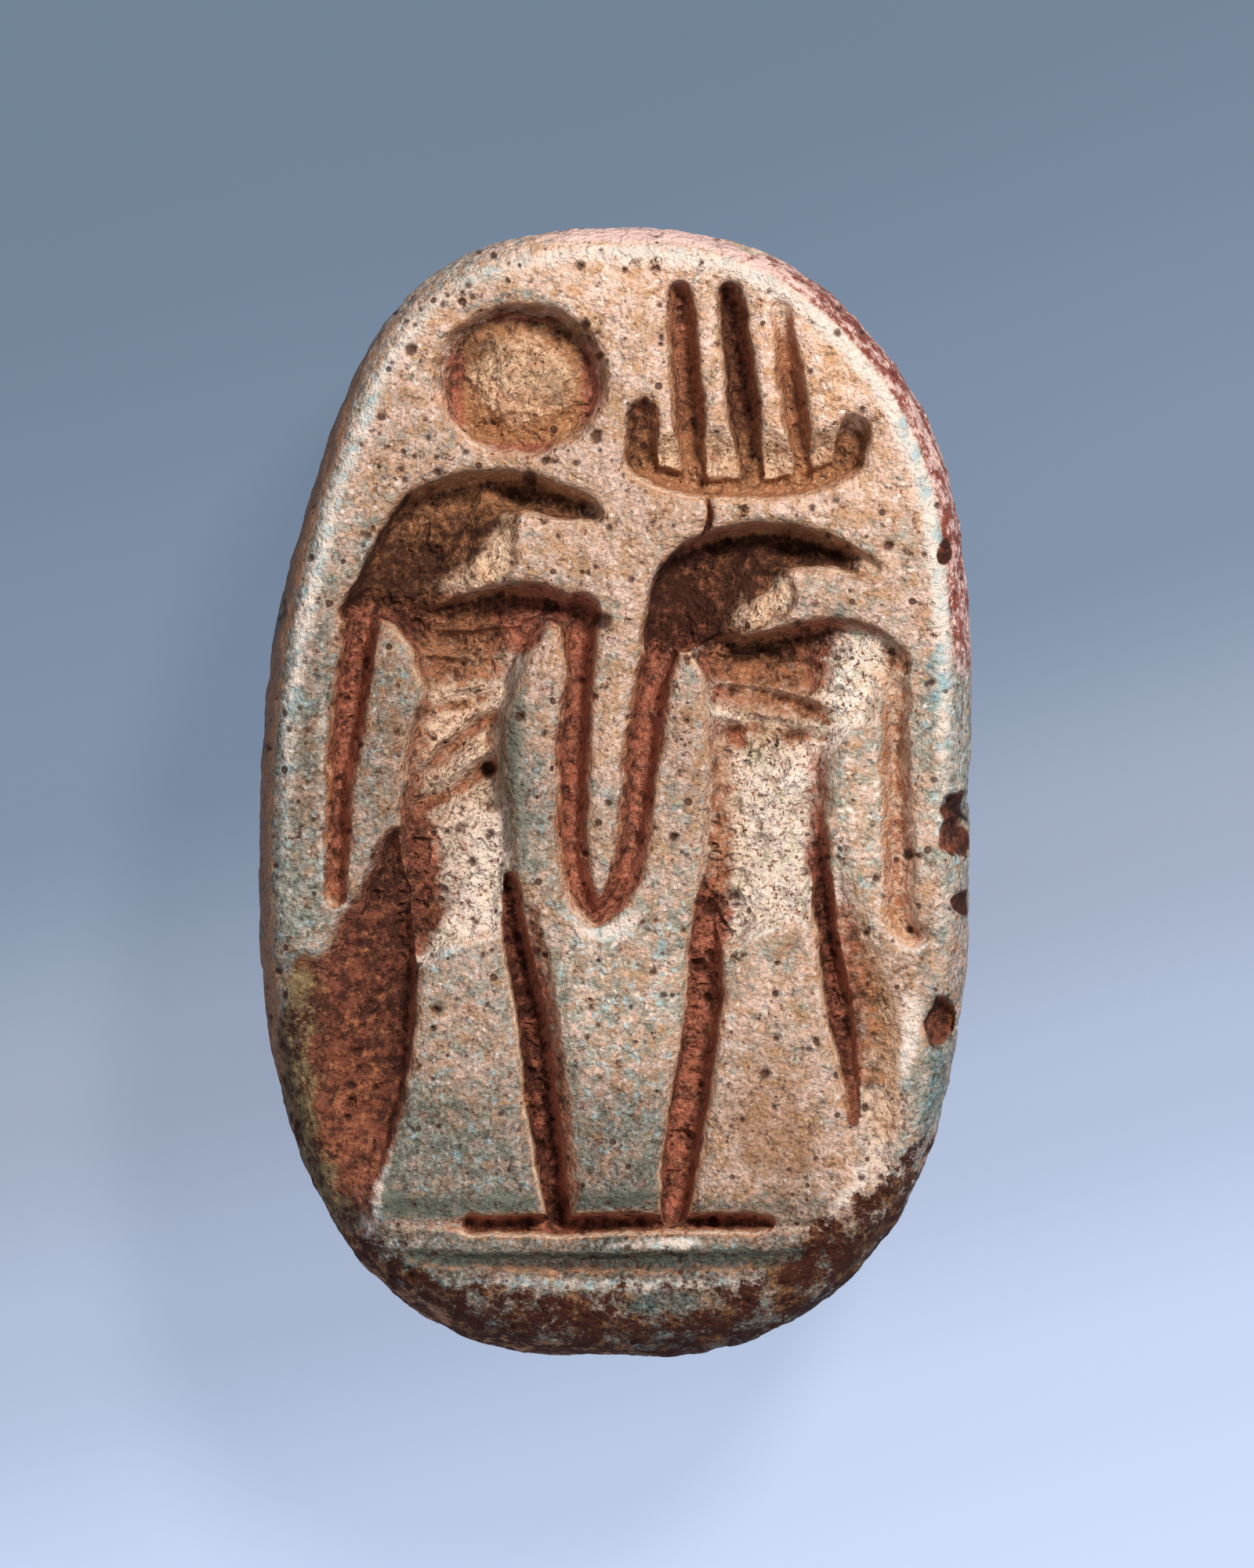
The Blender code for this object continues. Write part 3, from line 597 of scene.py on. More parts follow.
crustGaps = (                   # x, y, half width, strength
    ((0.1, -7.22, 0.05, 0.7), (0.8, -7.18, 0.08, 0.9), (1.4, -7.1, 0.05, 0.7)), ((-2.6, -7.1, 0.04, 0.6),
                                                                                 (-1.6, -7.2, 0.04, 0.5)),
    ((2.2, -7.55, 0.03, 0.6), (3.0, -7.1, 0.03, 0.6)), ((-0.6, -7.62, 0.03, 0.5), (0.4, -7.66, 0.03, 0.5)),
)
lightness = (                   # x, y, how light the bare stone is
    (0.0, 7.2, 1.3), (-2.6, 6.4, 1.06), (2.0, 6.4, 1.3), (3.1, 5.9, 1.4), (0.4, 6.2, 1.12),
    (-3.2, 5.0, 0.94),
    (4.0, 4.6, 1.2), (-0.1, 5.4, 0.95),
    (-0.9, 3.3, 1.0), (-0.1, 4.2, 0.96), (4.0, 3.2, 1.05), (-4.2, 1.0, 0.57), (-3.3, 0.5, 0.66),
    (-1.3, 0.4, 0.62), (-0.95, 0.8, 0.84),
    (-0.15, 1.0, 1.0), (0.9, 0.8, 0.84), (3.4, -0.2, 1.22), (4.4, 0.8, 1.0), (-4.3, -1.5, 0.72),
    (-2.3, -3.0, 0.84),
    (-2.4, -5.2, 0.58), (0.1, -3.0, 1.13), (0.1, -5.2, 0.56), (2.1, -3.0, 1.0), (2.2, -4.4, 0.9),
    (1.8, -5.2, 0.82), (3.9, -3.0, 0.86),
    (3.7, -4.9, 0.92), (0.0, -6.5, 0.32), (0.3, -5.6, 0.42), (-2.8, -6.5, 0.42), (2.6, -6.5, 0.42),
    (0.0, -7.1, 0.4),
)
greyness = (                    # x, y, how much of the grey-green glaze is left in the stone
    (0.0, 7.2, 0.0), (-2.6, 6.4, 0.25), (2.8, 6.2, 0.0), (-3.2, 5.0, 0.3), (4.0, 4.8, 0.2),
    (-0.1, 5.8, 0.1),
    (-0.9, 3.3, 0.2), (-0.1, 4.2, 0.1), (4.0, 3.2, 0.2), (-4.4, 3.2, 0.65), (-4.3, 1.0, 0.75),
    (-3.3, 0.5, 0.65),
    (-1.1, 0.6, 0.65), (-0.15, 1.0, 0.25), (0.9, 0.8, 0.45), (3.4, -0.2, 0.6), (4.4, 0.8, 0.75),
    (-4.3, -1.5, 0.8),
    (-2.3, -3.0, 0.65), (-2.4, -5.2, 0.95), (0.1, -3.0, 0.75), (0.1, -5.2, 0.8), (2.1, -3.0, 0.4),
    (2.2, -5.2, 0.1),
    (3.9, -3.0, 0.15), (3.7, -4.9, 0.2), (4.6, -4.3, 0.9), (0.0, -6.6, 0.8), (0.0, -7.3, 0.5),
    (0.7, -7.2, 0.85),
)
brownPaths = (                  # x, y, half width, strength: earth spread over pale floors
    ((-2.95, 2.3, 0.3, 1.0), (-1.3, 2.3, 0.25, 1.0)), ((-2.65, 1.85, 0.3, 0.8), (-1.7, 1.85, 0.2, 0.7)),
    ((-2.7, 1.2, 0.1, 0.7), (-2.84, 0.0, 0.12, 0.7), (-2.8, -1.0, 0.3, 0.9), (-2.85, -2.0, 0.22, 0.8)),
    ((-2.75, -0.3, 0.2, 0.5), (-2.3, -0.6, 0.2, 0.35), (-2.4, -1.5, 0.25, 0.4)),
    ((-2.65, 0.35, 0.05, 0.8), (-2.2, 0.7, 0.05, 0.6), (-1.8, 1.02, 0.05, 0.6)),
    ((1.46, 0.9, 0.1, 0.6), (1.5, -0.5, 0.1, 0.7), (1.38, -2.0, 0.14, 1.0)),
    ((1.4, 1.85, 0.2, 1.0), (2.75, 1.72, 0.24, 0.9)), ((1.5, 1.36, 0.1, 0.7), (2.75, 1.18, 0.12, 0.7)),
    ((2.9, 0.5, 0.06, 0.6), (2.9, -1.0, 0.1, 1.0)), ((-1.75, 1.0, 0.1, 0.5), (-1.7, -0.6, 0.06, 0.3)),
    ((3.7, 1.7, 0.02, 0.9), (3.72, 0.0, 0.03, 1.0), (3.76, -1.6, 0.03, 0.9)),
    ((3.2, -1.7, 0.1, 0.7), (3.5, -2.8, 0.25, 0.8), (3.65, -4.0, 0.2, 0.6)), ((3.75, -4.4, 0.1, 0.3),
                                                                              (3.8, -5.0, 0.1, 0.2)),
    ((-2.9, -6.7, 0.02, 0.5), (0.0, -6.76, 0.02, 0.5), (2.9, -6.7, 0.02, 0.5)),
)
rustPaths = (((-2.9, 0.0, 0.04, 0.5), (-2.75, -0.9, 0.14, 0.9), (-2.75, -1.8, 0.2, 1.0)),)
ochrePaths = (                  # x, y, half width, strength: earth that is ochre instead of red
    ((-3.1, 3.3, 0.5, 0.7), (-1.8, 3.8, 0.8, 0.8), (-0.5, 3.9, 0.3, 0.8)), ((0.9, 2.9, 0.3, 0.3),
                                                                            (2.2, 3.3, 0.5, 0.6),
     (3.6, 3.1, 0.3, 0.7)), ((-1.3, 5.75, 1.4, 0.9), (-1.27, 5.8, 1.4, 0.9)),
    ((0.4, 4.7, 0.4, 0.8), (1.9, 4.6, 0.4, 0.8), (3.3, 4.8, 0.4, 0.8)), ((0.95, 6.8, 0.2, 0.3),
                                                                         (1.0, 5.4, 0.3, 0.4)),
    ((1.65, 6.8, 0.2, 0.3), (1.8, 5.4, 0.3, 0.4)), ((2.4, 6.8, 0.3, 0.5), (2.6, 5.4, 0.3, 0.6)),
    ((-1.5, 3.6, 0.1, 0.8), (-1.8, 3.1, 0.2, 0.9)), ((2.4, 2.9, 0.1, 0.8), (2.1, 2.6, 0.2, 0.9)),
    ((-2.2, 2.1, 0.4, 0.6), (-2.2, 0.6, 0.5, 0.6), (-2.3, -0.4, 0.2, 0.3)), ((1.9, 2.1, 0.4, 0.6),
                                                                             (2.3, 1.2, 0.5, 0.55)),
    ((1.5, 0.6, 0.1, 0.5), (1.5, -1.0, 0.1, 0.5)),
    ((-4.7, -2.4, 0.3, 1.0), (-4.65, -3.2, 0.3, 1.0), (-4.7, -4.2, 0.25, 0.9), (-4.4, -5.2, 0.2, 0.8),
     (-3.9, -6.1, 0.2, 0.7)), ((4.0, 1.6, 0.3, 0.5), (4.0, -1.8, 0.3, 0.4)),
    ((3.8, -1.8, 0.2, 0.9), (3.95, -4.5, 0.2, 0.9)),
)
brightEarthAndLightPaths = (                   # x, y, half width, strength: brighter rust and earth, and painted fill light on the shaded crown wall of the left head
    ((-3.5, -3.6, 0.2, 0.1), (-3.7, -4.3, 0.3, 0.25), (-3.8, -5.2, 0.3, 0.3)),
    ((-3.2, 3.3, 0.1, 0.2), (-2.6, 4.0, 0.15, 0.6), (-1.6, 4.2, 0.15, 0.6), (-0.8, 4.1, 0.1, 0.3)),
    ((4.85, -0.25, 0.3, 0.15), (4.85, -0.6, 0.3, 0.15)), ((4.55, -3.1, 0.2, 0.4), (4.58, -3.4, 0.2, 0.4)),
)
shadeAndGrimePaths = (                   # x, y, half width, strength: painted shade with some grime, in grooves, at the feet of forms and on walls that look away from the light
    ((-3.0, -6.5, 0.04, 0.5), (-1.5, -6.58, 0.07, 0.9), (1.5, -6.58, 0.07, 0.9), (3.0, -6.46, 0.04, 0.5)),
    ((-3.1, -5.8, 0.08, 0.6), (-1.2, -5.8, 0.06, 0.5)), ((-0.6, -5.74, 0.08, 0.6), (0.6, -5.72, 0.08, 0.6)),
    ((1.2, -5.8, 0.06, 0.5), (3.0, -5.82, 0.06, 0.5)), ((-1.42, 1.7, 0.06, 0.7), (-1.5, 0.4, 0.08, 0.8),
                                                        (-1.4, -1.0, 0.06, 0.6)),
    ((0.2, -7.16, 0.04, 0.6), (1.6, -7.1, 0.04, 0.4)), ((-2.9, -7.1, 0.04, 0.5), (-1.0, -7.16, 0.04, 0.5)),
    ((3.06, 0.5, 0.06, 0.4), (3.04, -0.6, 0.04, 0.4)), ((2.5, 2.7, 0.04, 0.5), (3.4, 2.4, 0.04, 0.5),
                                                        (4.0, 2.05, 0.04, 0.5)),
    ((-1.5, 2.95, 0.03, 0.4), (-0.7, 2.8, 0.03, 0.4)), ((4.75, -0.12, 0.06, 0.9), (4.95, -0.3, 0.06, 0.9)),
    ((4.5, -3.0, 0.04, 0.9), (4.66, -3.02, 0.04, 0.9)), ((4.84, -1.42, 0.03, 0.8),
                                                         (4.94, -1.42, 0.03, 0.8)),
    ((-2.3, 6.4, 0.04, 0.5), (-1.3, 6.8, 0.04, 0.6), (-0.3, 6.3, 0.04, 0.6)), ((-1.9, 6.2, 0.2, 0.6),
                                                                               (-1.3, 5.9, 0.3, 0.35),
                                                                               (-0.8, 5.7, 0.2, 0.5)),
)
stainPaths = (                  # x, y, half width, strength: faces stained warm brown
    ((2.0, -3.6, 0.4, 0.5), (2.2, -4.6, 0.5, 0.8), (2.4, -5.2, 0.4, 0.8)), ((0.3, -2.4, 0.2, 0.5),
                                                                            (0.6, -2.9, 0.1, 0.3)),
    ((-4.9, 4.0, 0.05, 0.4), (-4.4, 5.0, 0.1, 0.5)), ((-4.25, 0.8, 0.1, 0.6), (-4.3, -0.4, 0.1, 0.5)),
    ((-3.2, 1.6, 0.1, 0.5), (-3.2, 0.2, 0.15, 0.6), (-3.5, -0.6, 0.1, 0.5)), ((3.3, 3.0, 0.3, 0.5),
                                                                              (2.7, 2.95, 0.1, 0.4)),
    ((4.6, 3.8, 0.05, 0.7), (4.7, 2.6, 0.05, 0.5)), ((0.6, 4.3, 0.3, 0.3), (2.6, 4.0, 0.2, 0.3)),
)
bluePaths = (                   # x, y, half width, strength: blue-green glaze still in place
    ((-5.1, 3.4, 0.1, 0.6), (-5.2, 0.5, 0.16, 1.0), (-5.1, -1.6, 0.16, 1.0), (-5.0, -2.4, 0.1, 0.9),
     (-4.95, -4.2, 0.1, 0.9)),
    ((-4.6, 4.6, 0.08, 0.6), (-4.2, 5.6, 0.08, 0.7), (-3.4, 6.6, 0.06, 0.6)), ((-3.3, -5.75, 0.1, 1.0),
                                                                               (-2.4, -5.85, 0.08, 0.8)),
    ((-3.0, -6.55, 0.08, 1.0), (0.0, -6.6, 0.06, 0.6), (2.9, -6.5, 0.1, 0.9)), ((0.3, -7.2, 0.06, 0.8),
                                                                                (1.1, -7.15, 0.06, 0.8)),
    ((-2.1, 6.75, 0.03, 0.8), (-1.3, 6.98, 0.03, 0.8), (-0.6, 6.75, 0.03, 0.6)),
    ((4.5, 1.8, 0.1, 0.9), (4.5, 0.6, 0.1, 0.7)), ((4.3, -2.2, 0.1, 0.6), (4.55, -3.9, 0.1, 0.9),
                                                   (4.4, -4.6, 0.1, 0.8)),
    ((3.5, 2.36, 0.04, 0.7), (4.05, 1.9, 0.04, 0.7), (4.12, 0.8, 0.04, 0.6)), ((4.2, -1.2, 0.06, 0.7),
                                                                               (4.2, -1.9, 0.06, 0.6)),
)
litPaths = (                    # x, y, half width, strength: painted highlight, orange and cream along edges that look towards the light
    ((2.7, -1.7, 0.02, 0.5), (2.98, -3.0, 0.01, 0.3), (3.16, -4.2, 0.01, 0.4), (3.36, -5.5, 0.02, 0.6)),
)
palePaths = (                   # x, y, half width, strength: earth missing from the cuts
    ((-1.44, 3.78, 0.1, 0.7), (-1.58, 3.4, 0.16, 1.0), (-1.74, 3.12, 0.18, 0.95), (-2.35, 2.88, 0.06, 0.7)),
    ((-1.8, 3.5, 0.1, 0.3), (-2.05, 3.16, 0.12, 0.4), (-2.6, 2.9, 0.06, 0.5)),
    ((2.42, 2.98, 0.05, 0.9), (2.3, 2.7, 0.14, 1.0), (1.9, 2.46, 0.12, 0.85), (1.65, 2.38, 0.06, 0.5)),
    ((1.85, 2.75, 0.06, 0.4), (1.55, 2.5, 0.06, 0.35)),
    ((2.95, 2.1, 0.1, 0.5), (3.5, 1.95, 0.26, 1.0), (3.4, 1.3, 0.26, 1.0)), ((3.9, 2.1, 0.1, 0.8),
                                                                             (4.0, 1.7, 0.08, 0.4)),
    ((3.45, 3.25, 0.06, 0.8), (3.7, 3.12, 0.08, 1.0)), ((-0.5, 4.05, 0.05, 0.6), (-0.3, 3.95, 0.06, 0.9)),
    ((2.34, 6.8, 0.1, 1.0), (2.4, 6.3, 0.05, 0.5)), ((3.38, 5.2, 0.08, 0.9), (3.36, 5.0, 0.05, 0.5)),
)
tealGlazeAndShadePaths = (                   # x, y, half width, strength: dark grey-green glaze, and painted shade at the foot of the face and on strip sides that look away from the light
    ((-2.95, -4.3, 0.04, 0.5), (-3.12, -5.2, 0.08, 0.8), (-3.15, -5.75, 0.12, 1.0), (-2.2, -5.8, 0.1, 0.9),
     (-1.1, -5.75, 0.08, 0.8)),
    ((-0.6, -5.7, 0.1, 0.7), (0.6, -5.68, 0.1, 0.7)), ((1.2, -5.74, 0.06, 0.6), (2.9, -5.78, 0.06, 0.6)),
    ((-1.36, 1.6, 0.1, 0.9), (-1.44, 0.4, 0.12, 1.0), (-1.3, -1.0, 0.1, 0.8)), ((3.05, 0.5, 0.08, 0.8),
                                                                                (3.0, -0.8, 0.06, 0.6)),
    ((-0.85, -2.2, 0.05, 0.6), (-0.62, -3.4, 0.06, 0.5), (-0.45, -5.2, 0.07, 0.7)),
    ((-2.9, -6.52, 0.05, 0.8), (2.8, -6.52, 0.05, 0.8)),
    ((-4.3, 4.6, 0.1, 0.5), (-4.75, 2.4, 0.12, 0.8), (-5.0, 0.0, 0.12, 0.8), (-5.0, -2.0, 0.1, 0.6)),
)


def paintPaths(paths, reach):
    # a soft mask along some paths; reach is how far it fades outside the half width
    mask = np.zeros(mapX.shape)
    for points in paths:
        path = smoothCurve(points)
        window = windowOf(path, reach + 0.3)
        inside, strength = insideStroke(path, window)
        mask[window] = np.maximum(mask[window], strength * ramp(inside, -reach, reach * 0.3))
    return mask


everywhere = (slice(None), slice(None))
sunkMap = ramp(depthMap, 0.08, 0.25)
brown = paintPaths(brownPaths, 0.32) * sunkMap
bare = paintPaths(palePaths, 0.3)
earthMap = np.clip(np.maximum(earthMap, 0.75 * brown), 0, 1) * (1 - 0.9 * bare)
creamMap = np.clip(np.maximum(creamMap * (1 - 0.85 * brown), 0.8 * bare * sunkMap), 0, 1)
wornAndLitMap = np.maximum(paintPaths(wornAndLitPaths, 0.1), ridgeMap * 0.4)
shadeFringeMap = np.maximum(shadeFringeMap, paintPaths(tealGlazeAndShadePaths, 0.2))
rubbedAndLitMap = paintPaths(rubbedAndLitRim, 0.3)
stainMap = paintPaths(stainPaths, 0.5)
blueMap = paintPaths(bluePaths, 0.2)
shadeAndGrimeMap = paintPaths(shadeAndGrimePaths, 0.14)
litMap = np.maximum(litMap, paintPaths(litPaths, 0.08))
crustMap = paintPaths(crustPaths, 0.3) * (1 - paintPaths(crustGaps, 0.16))
ochreMap = paintPaths(ochrePaths, 0.5)
# painted light and shade across the grooves: earth lighter on walls that look left, darker on walls that look
# right
redMap = redMap + 0.2 * ramp(-slopeX, 0.3, 1.6) - 0.12 * ramp(slopeX, 0.3, 1.6)
redMap = np.clip(redMap + paintPaths(brightEarthAndLightPaths, 0.4), -0.5, 1)
redMap *= 1 - 0.85 * ramp(-mapY, 6.3, 6.5)
lightMap = spread(lightness, everywhere)
glazeMap = spread(greyness, everywhere)
brokenEdge = smoothCurve(surroundings["brokenCorner"], closed=True)
rustMap = ramp(insideOutline(brokenEdge, everywhere), -0.3, 0.4 + 0.35 * ramp(-mapX, 3.2, 4.2))
rustMap = np.maximum(rustMap, ramp(insideOutline(brokenEdge, everywhere) * (mapX > -3.25), 0.0, 0.1))
rustMap *= 1 - 0.5 * ramp(-mapX, 4.4, 4.8) * ramp(mapY, -5.0, -4.4)
rustMap = np.maximum(rustMap, chipMap)
rustMap = np.maximum(rustMap, paintPaths(rustPaths, 0.5) * (mapX < -1.9) * ramp(mapY, -2.4, -2.2) * 0.85)
print("stains placed")


# the mesh
def outlineSize(share, inset):
    halfTop = seal["length"] / 2 - seal["widestY"]
    halfFoot = seal["length"] / 2 + seal["widestY"]
    return (seal["width"] / 2 * share - seal["rimSide"] * inset - seal["skin"],
            halfTop * share - seal["rimTop"] * inset - seal["skin"],
            halfFoot * share - seal["rimFoot"] * inset - seal["skin"])


def placeOnOutline(x, y, share, inset):
    # unit-disc directions to points of the egg-shaped outline, in mm
    angle = np.arctan2(y, x)
    c, s = np.cos(angle), np.sin(angle)
    bulge = (np.abs(c) ** seal["squareness"] + np.abs(s) ** seal["squareness"]) ** (-1 / seal["squareness"])
    bulge = 1 + (bulge - 1) * np.clip(share, 0, 1) ** 2
    halfWidth, halfTop, halfFoot = outlineSize(share, inset)
    outY = seal["widestY"] + s * bulge * np.where(s > 0, halfTop, halfFoot)
    reach = np.where(outY > seal["leanY"], seal["leanReachUp"], seal["leanReachDown"])
    outX = c * bulge * halfWidth + seal["lean"] * np.exp(-((outY - seal["leanY"]) / reach) ** 2)
    return outX, outY


def outlineMap():
    # distance inside the seal's outline, for stains that follow the rim
    angle = np.linspace(0, 2 * math.pi, 97)[:-1]
    x, y = placeOnOutline(np.cos(angle), np.sin(angle), 1 + 0 * angle, 0 * angle)
    return insideOutline(np.stack([x, y], 1), everywhere)


def squareToDisc(bm, across, along):
    # a grid over the square, as numpy columns of its mapping to the unit disc
    bmesh.ops.create_grid(bm, x_segments=across, y_segments=along, size=1)
    bm.verts.ensure_lookup_table()
    co = np.array([v.co[:2] for v in bm.verts])
    return co[:, 0] * np.sqrt(1 - co[:, 1] ** 2 / 2), co[:, 1] * np.sqrt(1 - co[:, 0] ** 2 / 2)


def sampleMap(values, x, y):
    # bilinear reading of a map at points in mm
    u = np.clip((x + reliefMap["reachX"]) / reliefMap["cell"], 0, len(xs) - 1.001)
    v = np.clip((y + reliefMap["reachY"]) / reliefMap["cell"], 0, len(ys) - 1.001)
    iu, iv = u.astype(int), v.astype(int)
    fu, fv = u - iu, v - iv
    low = values[iv, iu] * (1 - fu) + values[iv, iu + 1] * fu
    high = values[iv + 1, iu] * (1 - fu) + values[iv + 1, iu + 1] * fu
    return low * (1 - fv) + high * fv


def faceSide():
    bm = bmesh.new()
    x, y = squareToDisc(bm, meshDetail["across"], meshDetail["along"])
    radius = np.clip(np.hypot(x, y), 0, 1)
    onFace = meshDetail["faceShare"]
    share = np.clip(radius / onFace, 0, 1)
    turn = np.clip((radius - onFace) / meshDetail["rimShare"], 0, 1) * math.pi / 2
    down = np.clip((radius - onFace - meshDetail["rimShare"]) / (1 - onFace - meshDetail["rimShare"]), 0, 1)
    outX, outY = placeOnOutline(x, y, share, share * (1 - np.sin(turn)))
    top = seal["height"] - seal["skin"]
    z = seal["rimStart"] + (top - seal["rimStart"]) * np.cos(turn)
    middle = (seal["rimStart"] + seal["domeTop"]) / 2
    z = z - down * (seal["rimStart"] - middle)
    z = z - sampleMap(depthMap, outX, outY) * (1 - down)
    return bm, np.stack([outX, outY, z], 1)


def backSide():
    bm = bmesh.new()
    coarser = meshDetail["coarser"]
    x, y = squareToDisc(bm, meshDetail["across"] // coarser, meshDetail["along"] // coarser)
    radius = np.clip(np.hypot(x, y), 0, 1)
    angle = np.clip(radius / meshDetail["domeShare"], 0, 1) * math.pi / 2
    up = np.clip((radius - meshDetail["domeShare"]) / meshDetail["backRise"], 0, 1)
    outX, outY = placeOnOutline(x, y, np.sin(angle), 0 * angle)
    flatAngle = math.asin(seal["flatShare"])
    z = seal["domeTop"] * np.clip(1 - np.cos(angle) / math.cos(flatAngle), 0, 1)
    z = z + up * ((seal["rimStart"] - seal["domeTop"]) / 2 - meshDetail["seamGap"])
    return bm, np.stack([outX, outY, z], 1)


def buildSeal():
    face, facePlaces = faceSide()
    back, backPlaces = backSide()
    for bm, places in ((face, facePlaces), (back, backPlaces)):
        for vert, place in zip(bm.verts, places):
            vert.co = Vector(place) * mm
    for f in back.faces:
        f.normal_flip()
    spare = bpy.data.meshes.new("spare")
    back.to_mesh(spare)
    face.from_mesh(spare)
    bpy.data.meshes.remove(spare)
    rims = [e for e in face.edges if e.is_boundary]
    bmesh.ops.bridge_loops(face, edges=rims)
    bmesh.ops.triangulate(face, faces=[f for f in face.faces if len(f.verts) > 4])
    bmesh.ops.recalc_face_normals(face, faces=face.faces)
    mesh = bpy.data.meshes.new("seal")
    face.to_mesh(mesh)
    face.free()
    back.free()
    piece = bpy.data.objects.new("carvedSeal", mesh)
    bpy.context.scene.collection.objects.link(piece)
    return piece


def applyModifiers(piece):
    bpy.context.view_layer.update()
    graph = bpy.context.evaluated_depsgraph_get()
    mesh = bpy.data.meshes.new_from_object(piece.evaluated_get(graph))
    piece.modifiers.clear()
    piece.data = mesh


def thin(piece):
    # keeps small triangles at walls and pores and larger ones on even ground
    now = sum(len(p.vertices) - 2 for p in piece.data.polygons)
    decimate = piece.modifiers.new("thin", "DECIMATE")
    decimate.ratio = meshDetail["triangles"] / now
    decimate.use_collapse_triangulate = True
    applyModifiers(piece)


def drillHole(piece):
    # a straight bore whose two mouths are worn wide
    half = seal["length"] / 2
    mouth = stringHole["mouthRadius"]
    profile = ((0.0, half + 1), (mouth * 1.5, half + 1), (mouth, half),
               (stringHole["radius"], half - stringHole["mouthLength"]))
    bm = bmesh.new()
    verts = [bm.verts.new((r * mm, 0, z * mm)) for r, z in profile]
    verts += [bm.verts.new((r * mm, 0, -z * mm)) for r, z in reversed(profile)]
    edges = [bm.edges.new(pair) for pair in zip(verts, verts[1:])]
    bmesh.ops.spin(bm, geom=verts + edges, cent=(0, 0, 0), axis=(0, 0, 1), angle=2 * math.pi,
                   steps=stringHole["sides"], use_merge=True)
    bmesh.ops.remove_doubles(bm, verts=bm.verts, dist=1e-7)
    bmesh.ops.recalc_face_normals(bm, faces=bm.faces)
    place = Matrix.Translation((0, 0, stringHole["height"] * mm)) @ Matrix.Rotation(math.pi / 2, 4, "X")
    bmesh.ops.transform(bm, matrix=place, verts=bm.verts)
    mesh = bpy.data.meshes.new("bore")
    bm.to_mesh(mesh)
    bm.free()
    bore = bpy.data.objects.new("bore", mesh)
    bpy.context.scene.collection.objects.link(bore)
    cutter = piece.modifiers.new("bore", "BOOLEAN")
    cutter.object = bore
    cutter.operation = "DIFFERENCE"
    applyModifiers(piece)
    bpy.data.objects.remove(bore)


def readVectors(collection, name):
    # a vector property of every vertex, one row each
    values = np.zeros(len(collection) * 3, np.float32)
    collection.foreach_get(name, values)
    return values.reshape(-1, 3)


def roughenRim(piece):
    # pulls the rim, sides and back in by small random amounts; the carved face stays as it is
    vertices = piece.data.vertices
    places, normals = readVectors(vertices, "co"), readVectors(vertices, "normal")
    down = np.clip((seal["height"] - rimWear["belowFace"] - places[:, 2] / mm) / rimWear["fade"], 0, 1)
    down *= (places[:, 2] > 0.02 * mm) & (normals[:, 2] < 0.93)
    for index in np.nonzero(down)[0]:
        amount = 0.45 + 0.7 * noise.fractal(places[index] / mm * rimWear["lumps"], 0.8, 2.0, 6)
        places[index] -= normals[index] * (rimWear["depth"] * min(max(amount, 0), 1) * down[index] * mm)
    vertices.foreach_set("co", places.ravel())


def addMask(piece, name, channels):
    # up to four masks as one colour attribute, ones where a place is spare; one value for each vertex
    attribute = piece.data.attributes.new(name, "FLOAT_COLOR", "POINT")
    attribute.data.foreach_set("color", np.stack(channels, 1).astype(np.float32).ravel())


